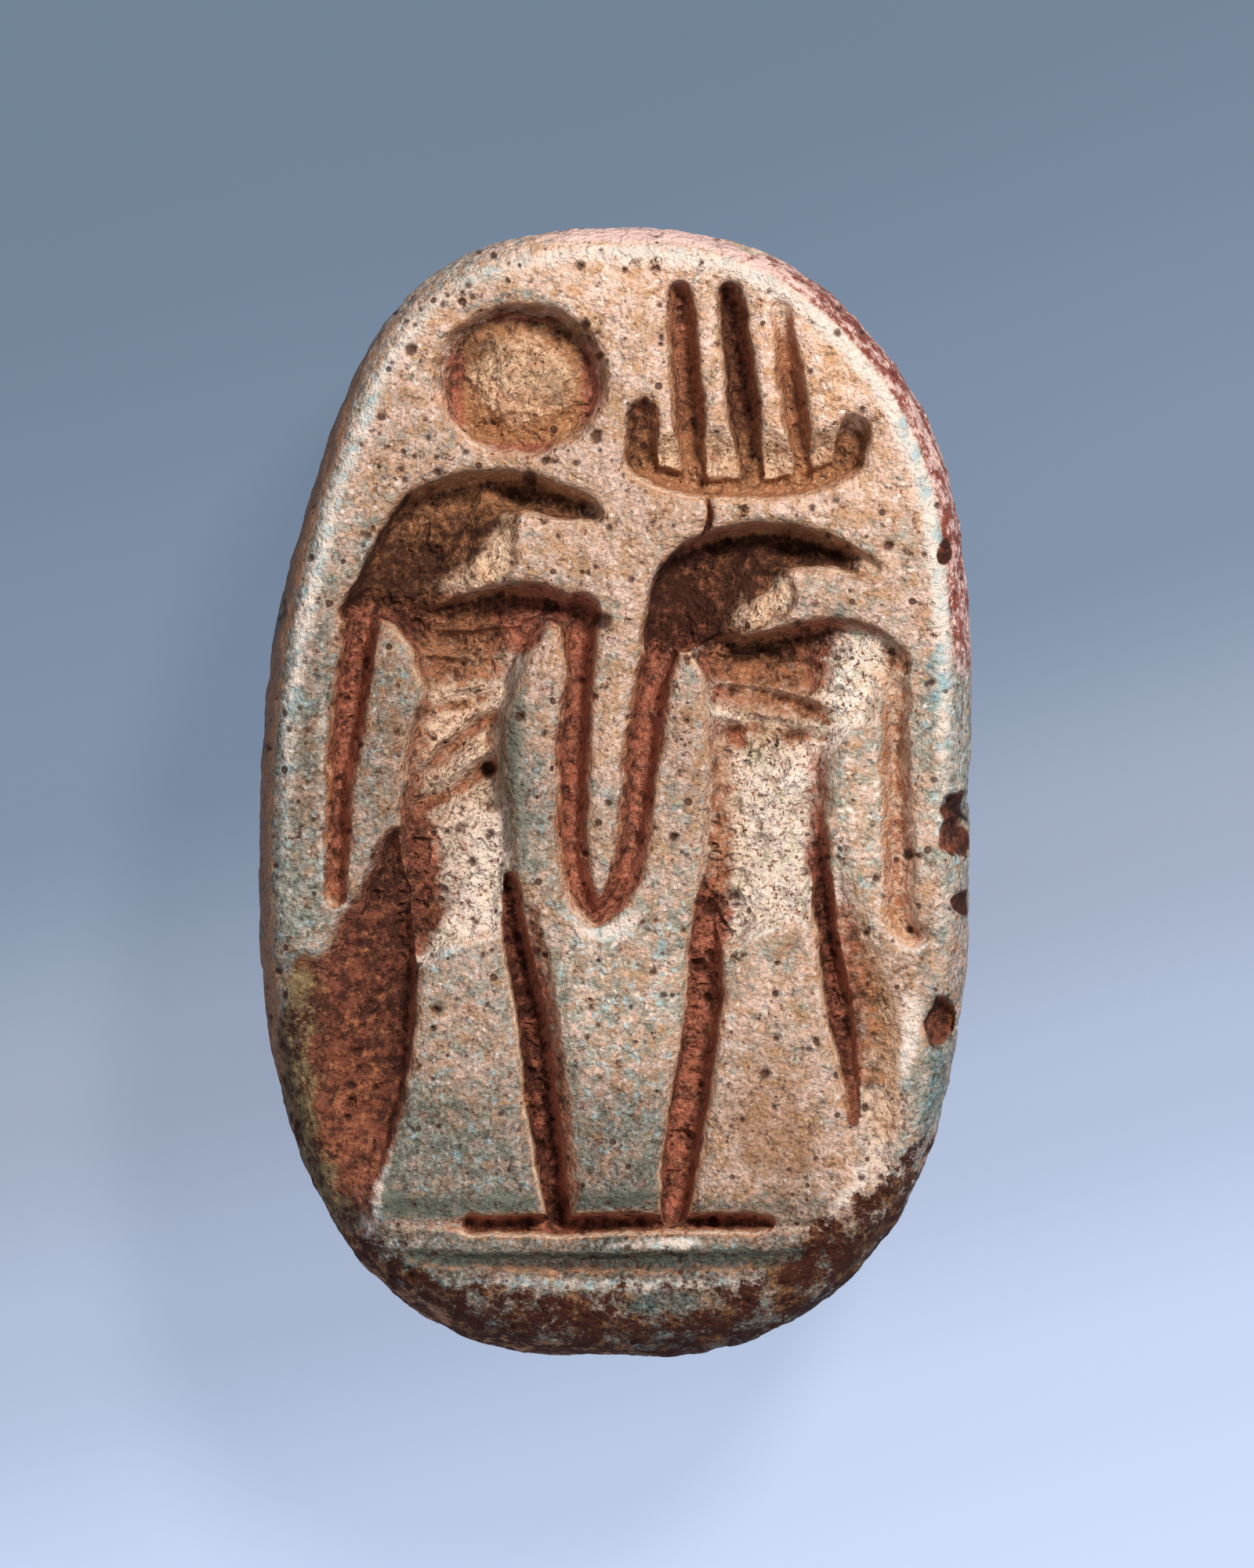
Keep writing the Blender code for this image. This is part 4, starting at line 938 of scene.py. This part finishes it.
def addMasks(piece):
    x, y, z = readVectors(piece.data.vertices, "co").T / mm
    upper = ramp(z, seal["domeTop"], seal["rimStart"])
    edge = sampleMap(outlineMap(), x, y)
    uneven = sampleMap(unevenness(1.2, 81, 4), x, y)
    nearFace = ramp(z + 1.4 * uneven, 4.0, 5.4)
    rim = ramp(0.6 - edge, 0.0, 0.25)
    onFace = upper * (1 - rim)
    earth = sampleMap(earthMap, x, y) * onFace
    red = sampleMap(redMap, x, y)
    cream = sampleMap(creamMap, x, y) * onFace
    hollow = sampleMap(poreAndHollowShadeMap, x, y) * upper
    addMask(piece, "carved", (earth, red, cream, hollow))
    rubbedAndLit = sampleMap(rubbedAndLitMap, x, y) * np.exp(-((edge - 0.42) / 0.17) ** 2)
    wornAndLit = np.maximum(sampleMap(wornAndLitMap, x, y), rubbedAndLit) * upper
    lit = sampleMap(litMap, x, y) * onFace
    shadeFringe = sampleMap(shadeFringeMap, x, y) * onFace
    light = sampleMap(lightMap, x, y) * (1 - 0.3 * ramp(0.34 - edge, 0.0, 0.2) * ramp(-x - 0.3 * y, 0.0, 3.0))
    addMask(piece, "edges", (wornAndLit, lit, shadeFringe, light))
    glaze = np.clip(sampleMap(glazeMap, x, y) + 0.3 * rim, 0, 1)
    crust = np.clip(sampleMap(crustMap, x, y) + rim * ramp(-y, 5.6, 6.8), 0, 1) * (0.4 + 0.6 * upper)
    rust = sampleMap(rustMap, x, y) * (0.3 + 0.7 * upper)
    rust *= np.where(x > 4, ramp(z + 0.5 * uneven, 4.9, 5.3), 1)
    pinkWidth = 0.22 + 0.06 * ramp(x, 0.5, 2.5)
    pink = ramp(pinkWidth - edge, -0.12, 0.08) * nearFace * ramp(y, 0.5, 3.0) * ramp(x + 0.35 * y, 0.8, 2.6)
    addMask(piece, "stains", (glaze, crust, rust, pink))
    lip = sampleMap(lipMap, x, y) * onFace
    outer = ramp(0.34 - edge, 0.0, 0.2)
    brownRim = outer * ramp(-x - 0.25 * y, 0.0, 3.0) * nearFace
    redRim = ramp(x - 0.3 * y, -1.4, 1.2)
    addMask(piece, "tints", (sampleMap(ochreMap, x, y), lip, brownRim, redRim))
    stain = sampleMap(stainMap, x, y) * upper
    blue = np.clip(sampleMap(blueMap, x, y), 0, 1) * upper
    dark = sampleMap(shadeAndGrimeMap, x, y) * upper
    addMask(piece, "patina", (stain, blue, dark, np.ones_like(dark)))


carvedSeal = buildSeal()
print("seal meshed:", len(carvedSeal.data.polygons), "faces")
roughenRim(carvedSeal)
thin(carvedSeal)
drillHole(carvedSeal)
addMasks(carvedSeal)
carvedSeal.data.shade_smooth()
print("seal thinned and bored:", len(carvedSeal.data.polygons), "faces")


# material
def linear(hexColour):
    # sRGB hex to the linear colour that shaders use
    parts = [int(hexColour[i:i + 2], 16) / 255 for i in (1, 3, 5)]
    return tuple(p / 12.92 if p <= 0.04045 else ((p + 0.055) / 1.055) ** 2.4 for p in parts) + (1.0,)


def addNode(tree, kind, settings=None, links=None):
    # one node, its settings by attribute or socket name, and its links by socket
    node = tree.nodes.new(kind)
    for key, value in (settings or {}).items():
        if isinstance(key, str) and hasattr(node, key):
            setattr(node, key, value)
        else:
            node.inputs[key].default_value = value
    for key, socket in (links or {}).items():
        tree.links.new(socket, node.inputs[key])
    return node


def isSocket(value):
    return hasattr(value, "is_linked")


def mixColour(tree, factor, a, b):
    # blends two colours, each a socket or a hex colour
    node = addNode(tree, "ShaderNodeMix", {"data_type": "RGBA"})
    for socket, value in ((0, factor), (6, a), (7, b)):
        if isSocket(value):
            tree.links.new(value, node.inputs[socket])
        else:
            node.inputs[socket].default_value = linear(value) if isinstance(value, str) else value
    return node.outputs[2]


def calculate(tree, operation, a, b=0.0):
    node = addNode(tree, "ShaderNodeMath", {"operation": operation})
    for socket, value in ((0, a), (1, b)):
        if isSocket(value):
            tree.links.new(value, node.inputs[socket])
        else:
            node.inputs[socket].default_value = value
    return node.outputs[0]


def step(tree, value, low, high):
    # 0 below low and 1 above high, smooth between; low may be the greater
    return addNode(tree, "ShaderNodeMapRange", {"interpolation_type": "SMOOTHSTEP", 1: low, 2: high},
                   {0: value}).outputs[0]


def shifted(tree, shift):
    # places in mm, moved so that every grain has a pattern of its own
    return addNode(tree, "ShaderNodeVectorMath", {"operation": "ADD", 1: (shift, shift * 0.7, -shift)},
                   {0: tree.nodes["inMm"].outputs[0]}).outputs[0]


def grainOf(tree, size, shift, detail=2.0, roughness=0.55):
    # noise whose largest lumps are about this many mm across, from a little over 0.2 to 0.8
    moved = shifted(tree, shift)
    return addNode(tree, "ShaderNodeTexNoise", {"Scale": 1 / size, "Detail": detail, "Roughness": roughness},
                   {"Vector": moved}).outputs[0]


def patchy(tree, mask, grain, ragged, low=0.35, high=0.65):
    # a soft mask broken up by a grain, so its border is ragged
    wobble = calculate(tree, "MULTIPLY", calculate(tree, "SUBTRACT", grain, 0.5), ragged)
    return step(tree, calculate(tree, "ADD", mask, wobble), low, high)


steatite = {
    "tan": "#B8906E",
    "pink": "#DABCAF",
    "grey": "#A7AEA6",
    "greyDark": "#757D74",
    "pale": "#F4EAE4",
    "bluePale": "#B0D0D8",
    "speckDark": "#6E4030",
    "poreAndShade": "#43231A",
    "shadeFringe": "#6F766B",
    "stain": "#9E714D",
    "glazeBlue": "#6F979B",
    "glazeTeal": "#4A5F58",
    "lip": "#C08E64",
    "lipDark": "#8A5638",
    "litOrange": "#CC8C60",
    "litCream": "#FFEBD6",
    "wornAndLit": "#F4E4DA",
    "wornBlue": "#A4C4CB",
    "cream": "#EDD4BE",
    "creamWarm": "#D29C76",
    "creamWarmPale": "#FAD6B2",
    "creamPale": "#FFF6EE",
    "creamGreen": "#C8CAAC",
    "creamPit": "#74442C",
    "earthDark": "#3A1D16",
    "earthRed": "#B46C56",
    "earthPale": "#D4A488",
    "ochreDark": "#43291E",
    "ochre": "#AC7A54",
    "ochrePale": "#E2BE98",
    "rust": "#784536",
    "rustDark": "#43261F",
    "rustBright": "#A56A4C",
    "rustOchre": "#7C6A4E",
    "rustPale": "#A68E68",
    "crust": "#402018",
    "crustOchre": "#8E6848",
    "rim": "#8E4A3C",
    "rimPale": "#F8D2CA",
    "rimBrown": "#AE7C5C",
}


def scaled(tree, value, centre, factor):
    # how far a grain is above or below its centre, times a factor
    return calculate(tree, "MULTIPLY", calculate(tree, "SUBTRACT", value, centre), factor)


def brighten(tree, colour, factor):
    return addNode(tree, "ShaderNodeVectorMath", {"operation": "SCALE"},
                   {0: colour, "Scale": factor}).outputs[0]


def twoTone(tree, grain, low, high, darker, lighter):
    # two of the stone's colours, one where a grain is low and one where it is high
    return mixColour(tree, step(tree, grain, low, high), steatite[darker], steatite[lighter])


def layOver(tree, colour, mask, share, over):
    # one colour over another, by a share of a mask
    return mixColour(tree, calculate(tree, "MULTIPLY", mask, share), colour, over)


def poresOf(tree, size, shift):
    # small round holes of many widths, about one to a cell of this many mm
    cells = addNode(tree, "ShaderNodeTexVoronoi", {"Scale": 1 / size}, {"Vector": shifted(tree, shift)})
    chance = addNode(tree, "ShaderNodeSeparateColor", {}, {0: cells.outputs["Color"]}).outputs[0]
    radius = scaled(tree, calculate(tree, "POWER", chance, 7.0), 0.0, 0.3)
    return step(tree, calculate(tree, "SUBTRACT", cells.outputs["Distance"], radius), 0.0, -0.06)


def bareStone(tree, masks):
    # tan, pink and grey crystals; more grey where glaze is left, with pale and blue specks, partly crystals
    # and partly painted glints
    fine = grainOf(tree, 0.06, 1.0, 3.0, 0.65)
    blotch = grainOf(tree, 0.2, 7.0, 4.0, 0.65)
    cloud = grainOf(tree, 1.1, 31.0, 3.0)
    colour = twoTone(tree, grainOf(tree, 0.26, 19.0, 4.0, 0.7), 0.34, 0.64, "tan", "pink")
    greyHere = calculate(tree, "ADD", scaled(tree, masks["glaze"], 0.0, 0.65), scaled(tree, cloud, 0.5, 0.8))
    greyHere = step(tree, calculate(tree, "ADD", greyHere, scaled(tree, blotch, 0.5, 2.2)), 0.1, 0.8)
    greys = twoTone(tree, grainOf(tree, 0.14, 23.0), 0.35, 0.65, "greyDark", "grey")
    colour = layOver(tree, colour, greyHere, 0.9, greys)
    # pale and blue specks: partly crystals, partly painted glints
    paleHere = step(tree, grainOf(tree, 0.1, 43.0, 3.0), 0.56, 0.72)
    colour = layOver(tree, colour, paleHere, 0.65, steatite["pale"])
    darkHere = step(tree, grainOf(tree, 0.12, 47.0, 3.0, 0.6), 0.41, 0.3)
    colour = layOver(tree, colour, darkHere, 0.8, steatite["speckDark"])
    blueHere = calculate(tree, "MULTIPLY", step(tree, grainOf(tree, 0.17, 53.0), 0.58, 0.7),
                         step(tree, masks["glaze"], 0.1, 0.9))
    colour = layOver(tree, colour, blueHere, 0.7, steatite["bluePale"])
    stainHere = patchy(tree, masks["stain"], grainOf(tree, 0.3, 57.0, 5.0, 0.7), 1.8, 0.3, 1.0)
    colour = layOver(tree, colour, stainHere, 0.7, steatite["stain"])
    glaze = twoTone(tree, grainOf(tree, 0.14, 59.0, 4.0, 0.7), 0.4, 0.6, "glazeTeal", "glazeBlue")
    glazeHere = patchy(tree, masks["blue"], grainOf(tree, 0.2, 60.0, 5.0, 0.75), 2.4, 0.4, 1.0)
    colour = layOver(tree, colour, glazeHere, 0.75, glaze)
    return brighten(tree, colour, calculate(tree, "ADD", scaled(tree, fine, 0.5, 1.75), masks["light"]))


def weatheredEdges(tree, masks, colour):
    # worn lips and rims, pale where they are rubbed, with painted highlight where they look towards the light
    # and grey-green painted shade where they look away from it
    ragged = grainOf(tree, 0.09, 61.0, 4.0, 0.6)
    # painted shade: grey-green on lips that look away from the light
    shadeFringe = patchy(tree, masks["shadeFringe"], grainOf(tree, 0.22, 62.0, 5.0, 0.8), 2.8, 0.25, 0.95)
    colour = layOver(tree, colour, shadeFringe, 0.75, steatite["shadeFringe"])
    lip = twoTone(tree, grainOf(tree, 0.07, 63.0, 4.0, 0.65), 0.4, 0.6, "lipDark", "lip")
    lipHere = patchy(tree, masks["lip"], ragged, 1.0, 0.2, 1.1)
    colour = layOver(tree, colour, lipHere, 0.55, lip)
    blue = calculate(tree, "MULTIPLY", step(tree, grainOf(tree, 0.3, 67.0, 4.0, 0.6), 0.42, 0.66),
                     step(tree, masks["glaze"], 0.1, 0.6))
    wornAndLitColour = mixColour(tree, blue, steatite["wornAndLit"], steatite["wornBlue"])
    # pale wear, and painted highlight on lower walls and rims that face the light
    wornAndLit = patchy(tree, masks["wornAndLit"], ragged, 1.6, 0.25, 1.25)
    colour = mixColour(tree, wornAndLit, colour, wornAndLitColour)
    brown = patchy(tree, masks["brownRim"], grainOf(tree, 0.25, 69.0, 6.0, 0.75), 2.6, 0.3, 0.9)
    colour = layOver(tree, colour, brown, 0.8, steatite["rimBrown"])
    pale = calculate(tree, "ADD", scaled(tree, masks["redRim"], 0.5, -0.14),
                     grainOf(tree, 0.3, 71.0, 6.0, 0.8))
    rimColour = twoTone(tree, pale, 0.38, 0.52, "rim", "rimPale")
    return mixColour(tree, patchy(tree, masks["pink"], ragged, 1.0), colour, rimColour)


def cutFloors(tree, masks, colour):
    # pitted pale floors, and earth packed into the deeper cuts, red-brown or ochre
    pits = grainOf(tree, 0.07, 79.0, 4.0, 0.7)
    lumps = grainOf(tree, 0.16, 83.0, 5.0, 0.65)
    pale = twoTone(tree, lumps, 0.34, 0.56, "cream", "creamPale")
    greenHere = step(tree, grainOf(tree, 0.4, 89.0, 4.0, 0.6), 0.5, 0.68)
    pale = layOver(tree, pale, greenHere, 0.8, steatite["creamGreen"])
    warm = twoTone(tree, grainOf(tree, 0.22, 91.0, 5.0, 0.7), 0.36, 0.6, "creamWarm", "creamWarmPale")
    pale = layOver(tree, pale, masks["ochre"], 0.95, warm)
    pale = mixColour(tree, step(tree, pits, 0.46, 0.37), pale, steatite["creamPit"])
    colour = mixColour(tree, patchy(tree, masks["cream"], pits, 0.6, 0.0, 0.7), colour, pale)
    tone = calculate(tree, "ADD", masks["red"], scaled(tree, grainOf(tree, 0.22, 97.0, 6.0, 0.8), 0.47, 4.2))
    soil = twoTone(tree, tone, -0.15, 1.15, "earthDark", "earthRed")
    bright = calculate(tree, "MULTIPLY", step(tree, pits, 0.5, 0.68),
                       calculate(tree, "ADD", scaled(tree, masks["red"], 0.0, 0.85), 0.08))
    soil = mixColour(tree, bright, soil, steatite["earthPale"])
    tone = calculate(tree, "ADD", tone, scaled(tree, masks["cream"], 0.0, 0.8))
    ochre = twoTone(tree, tone, -0.2, 1.1, "ochreDark", "ochre")
    ochre = mixColour(tree, bright, ochre, steatite["ochrePale"])
    soil = mixColour(tree, masks["ochre"], soil, ochre)
    earth = patchy(tree, masks["earth"], lumps, 1.5, 0.06, 0.66)
    return mixColour(tree, earth, colour, soil)


def litWalls(tree, masks, colour):
    # painted highlight: lips that look up and right, towards the light, are coloured cream and orange
    fine = grainOf(tree, 0.05, 109.0, 3.0, 0.6)
    tone = calculate(tree, "ADD", masks["lit"], scaled(tree, fine, 0.5, 1.8))
    bright = twoTone(tree, tone, 0.4, 1.25, "litOrange", "litCream")
    here = patchy(tree, masks["lit"], grainOf(tree, 0.12, 113.0, 5.0, 0.7), 2.0, 0.1, 0.9)
    return layOver(tree, colour, here, 0.72, bright)


def burialStains(tree, masks, colour):
    # rust in the broken corner and in the chips, dark crust along the foot
    clouds = scaled(tree, grainOf(tree, 0.4, 131.0, 5.0, 0.65), 0.5, 2.4)
    ochreHere = step(tree, calculate(tree, "ADD", masks["ochre"], clouds), 0.2, 0.7)
    rust = mixColour(tree, ochreHere, steatite["rust"], steatite["rustOchre"])
    glow = scaled(tree, masks["red"], 0.4, 0.2)
    darker = calculate(tree, "ADD", grainOf(tree, 0.3, 133.0, 6.0, 0.8), glow)
    rust = mixColour(tree, step(tree, darker, 0.59, 0.44), rust, steatite["rustDark"])
    brighter = calculate(tree, "ADD", grainOf(tree, 0.16, 127.0, 5.0, 0.78), glow)
    bright = mixColour(tree, ochreHere, steatite["rustBright"], steatite["rustPale"])
    rust = mixColour(tree, step(tree, brighter, 0.5, 0.68), rust, bright)
    rustHere = patchy(tree, masks["rust"], grainOf(tree, 0.4, 137.0, 6.0, 0.75), 2.6, 0.2, 0.8)
    colour = mixColour(tree, rustHere, colour, rust)
    crust = twoTone(tree, grainOf(tree, 0.34, 139.0, 7.0, 0.8), 0.5, 0.66, "crust", "crustOchre")
    crustHere = patchy(tree, masks["crust"], grainOf(tree, 0.45, 149.0, 7.0, 0.82), 6.0, 0.45, 0.95)
    return mixColour(tree, crustHere, colour, crust)


def glazedSteatite():
    # glazed steatite, matt and speckled where the blue-green glaze has worn off
    material = bpy.data.materials.new("glazedSteatiteWorn")
    material.use_nodes = True
    tree = material.node_tree
    shader = tree.nodes["Principled BSDF"]
    where = addNode(tree, "ShaderNodeTexCoord").outputs["Object"]
    addNode(tree, "ShaderNodeVectorMath", {"name": "inMm", "operation": "SCALE", "Scale": 1 / mm}, {0: where})
    masks = {}
    for name, channels in (("carved", ("earth", "red", "cream", "hollow")),
                           ("edges", ("wornAndLit", "lit", "shadeFringe", "light")),
                           ("stains", ("glaze", "crust", "rust", "pink")),
                           ("tints", ("ochre", "lip", "brownRim", "redRim")),
                           ("patina", ("stain", "blue", "dark"))):
        attribute = addNode(tree, "ShaderNodeAttribute", {"attribute_name": name})
        parts = addNode(tree, "ShaderNodeSeparateColor", {}, {0: attribute.outputs[0]})
        masks.update(zip(channels, list(parts.outputs[:3]) + [attribute.outputs["Alpha"]]))

    colour = bareStone(tree, masks)
    colour = weatheredEdges(tree, masks, colour)
    colour = cutFloors(tree, masks, colour)
    colour = litWalls(tree, masks, colour)
    colour = burialStains(tree, masks, colour)
    # painted shade with some grime darkens grooves, feet and walls that look away from the light
    shadeAndGrime = patchy(tree, masks["dark"], grainOf(tree, 0.2, 155.0, 5.0, 0.75), 1.4, 0.1, 0.9)
    colour = brighten(tree, colour, calculate(tree, "SUBTRACT", 1.0, scaled(tree, shadeAndGrime, 0.0, 0.5)))
    # dark pores, and painted shade in the hollows
    pores = poresOf(tree, 0.21, 151.0)
    hollow = calculate(tree, "MAXIMUM", masks["hollow"], pores)
    colour = layOver(tree, colour, hollow, 0.85, steatite["poreAndShade"])
    tree.links.new(colour, shader.inputs["Base Color"])
    shader.inputs["IOR"].default_value = 1.55
    shader.inputs["Specular IOR Level"].default_value = 0.15
    stained = calculate(tree, "MAXIMUM", masks["rust"], masks["crust"])
    dusty = calculate(tree, "MAXIMUM", masks["earth"], stained)
    tree.links.new(calculate(tree, "ADD", scaled(tree, dusty, 0.0, 0.35), 0.58), shader.inputs["Roughness"])

    # crystals and sugary grain too small for the mesh
    height = calculate(tree, "ADD", grainOf(tree, 0.06, 5.0, 3.0, 0.65),
                       calculate(tree, "MULTIPLY", grainOf(tree, 0.18, 11.0), 1.6))
    height = calculate(tree, "SUBTRACT", height, calculate(tree, "MULTIPLY", pores, 0.5))
    rougher = calculate(tree, "ADD", scaled(tree, masks["cream"], 0.0, 0.3), 1.0)
    height = calculate(tree, "MULTIPLY", height, rougher)
    bump = addNode(tree, "ShaderNodeBump", {"Strength": 1.0, "Distance": 0.08 * mm}, {"Height": height})
    tree.links.new(bump.outputs[0], shader.inputs["Normal"])
    return material


carvedSeal.data.materials.append(glazedSteatite())
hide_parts("seal")
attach(carvedSeal, "root")
print("material made")


# floor, light and camera
studio = {
    "floorSize": 4.0,           # m
    "floorStops": ((-11.0, "#6F8196"), (-2.0, "#7F90A8"), (2.5, "#9FABC2"), (6.0, "#B0BED9"),
                   (10.0, "#C5D6F4"), (13.0, "#CCDDFA")),
    "floorGlow": 0.85,          # share of the floor's light that is its own
    "shadeWidth": 4.5,          # mm, half the width of the oval of painted shade under the seal
    "shadeLength": 7.2,
    "shadeCore": 0.3,           # share of the oval that is in full shade
    "shadeDepth": 0.35,         # brightness that is left there
    "skyColour": "#DDE2EC",
    "skyStrength": 0.3,
    "cameraHeight": 0.2445,     # m above the face
    "lens": 400.0,
    "sensor": 36,
    "lookX": 0.182,             # mm, the middle of the view
    "lookY": 0.121,
}


def selfGlowingSheet():
    # a frosted sheet that glows by itself, as if lit from behind, darker towards the seal's head, with a
    # painted oval of shade under the seal
    material = bpy.data.materials.new("frostedSelfGlowingSheet")
    material.use_nodes = True
    tree = material.node_tree
    shader = tree.nodes["Principled BSDF"]
    where = addNode(tree, "ShaderNodeTexCoord").outputs["Object"]
    along = addNode(tree, "ShaderNodeVectorMath", {"operation": "DOT_PRODUCT", 1: (0.25, -1, 0)}, {0: where})
    stops = studio["floorStops"]
    first, last = stops[0][0], stops[-1][0]
    share = addNode(tree, "ShaderNodeMapRange", {1: first * mm, 2: last * mm}, {0: along.outputs["Value"]})
    ramped = addNode(tree, "ShaderNodeValToRGB", {}, {0: share.outputs[0]})
    ramped.color_ramp.interpolation = "EASE"
    while len(ramped.color_ramp.elements) < len(stops):
        ramped.color_ramp.elements.new(0.5)
    for element, (place, colour) in zip(ramped.color_ramp.elements, stops):
        element.position = (place - first) / (last - first)
        element.color = linear(colour)
    halves = (1 / (studio["shadeWidth"] * mm), 1 / (studio["shadeLength"] * mm), 0)
    oval = addNode(tree, "ShaderNodeVectorMath", {"operation": "MULTIPLY", 1: halves}, {0: where})
    away = addNode(tree, "ShaderNodeVectorMath", {"operation": "LENGTH"}, {0: oval.outputs[0]})
    fade = {"interpolation_type": "SMOOTHSTEP", 1: studio["shadeCore"], 2: 1.0, 3: studio["shadeDepth"]}
    unshaded = addNode(tree, "ShaderNodeMapRange", fade, {0: away.outputs["Value"]})
    sheet = brighten(tree, ramped.outputs[0], unshaded.outputs[0])
    shade = addNode(tree, "ShaderNodeVectorMath", {"operation": "SCALE", "Scale": 1 - studio["floorGlow"]},
                    {0: sheet})
    tree.links.new(shade.outputs[0], shader.inputs["Base Color"])
    tree.links.new(sheet, shader.inputs["Emission Color"])
    shader.inputs["Emission Strength"].default_value = studio["floorGlow"]
    shader.inputs["Roughness"].default_value = 1.0
    shader.inputs["Specular IOR Level"].default_value = 0.0
    return material


def makeFloor():
    bm = bmesh.new()
    bmesh.ops.create_grid(bm, x_segments=1, y_segments=1, size=studio["floorSize"] / 2)
    mesh = bpy.data.meshes.new("studioFloor")
    bm.to_mesh(mesh)
    bm.free()
    floor = bpy.data.objects.new("studioFloor", mesh)
    bpy.context.scene.collection.objects.link(floor)
    mesh.materials.append(selfGlowingSheet())


def addLight(name, aim, direction, distance, size, power, colour):
    # a square area light at a distance along a direction, looking at a point; lengths in mm
    data = bpy.data.lights.new(name, "AREA")
    data.size = size * mm
    data.energy = power
    data.color = linear(colour)[:3]
    light = bpy.data.objects.new(name, data)
    bpy.context.scene.collection.objects.link(light)
    way = Vector(direction).normalized()
    light.location = (Vector(aim) + way * distance) * mm
    light.rotation_euler = way.to_track_quat("Z", "Y").to_euler()


def makeLights():
    aim = (0, 0, seal["height"])
    addLight("window", aim, (0.5, 0.76, 1.3), 160, 30, 0.34, "#FFF6EA")
    addLight("fill", aim, (-0.4, -0.9, 0.9), 200, 120, 0.075, "#FFF0E4")
    world = bpy.data.worlds.new("studio")
    world.use_nodes = True
    sky = world.node_tree.nodes["Background"]
    sky.inputs[0].default_value = linear(studio["skyColour"])
    sky.inputs[1].default_value = studio["skyStrength"]
    bpy.context.scene.world = world


def makeCamera():
    data = bpy.data.cameras.new("camera")
    data.lens = studio["lens"]
    data.sensor_width = studio["sensor"]
    data.clip_start = 0.01
    data.clip_end = 20
    camera = bpy.data.objects.new("camera", data)
    bpy.context.scene.collection.objects.link(camera)
    camera.location = (studio["lookX"] * mm, studio["lookY"] * mm,
                       seal["height"] * mm + studio["cameraHeight"])
    bpy.context.scene.camera = camera


makeFloor()
makeLights()
makeCamera()
bpy.context.scene.view_settings.view_transform = "Standard"
print("studio ready")
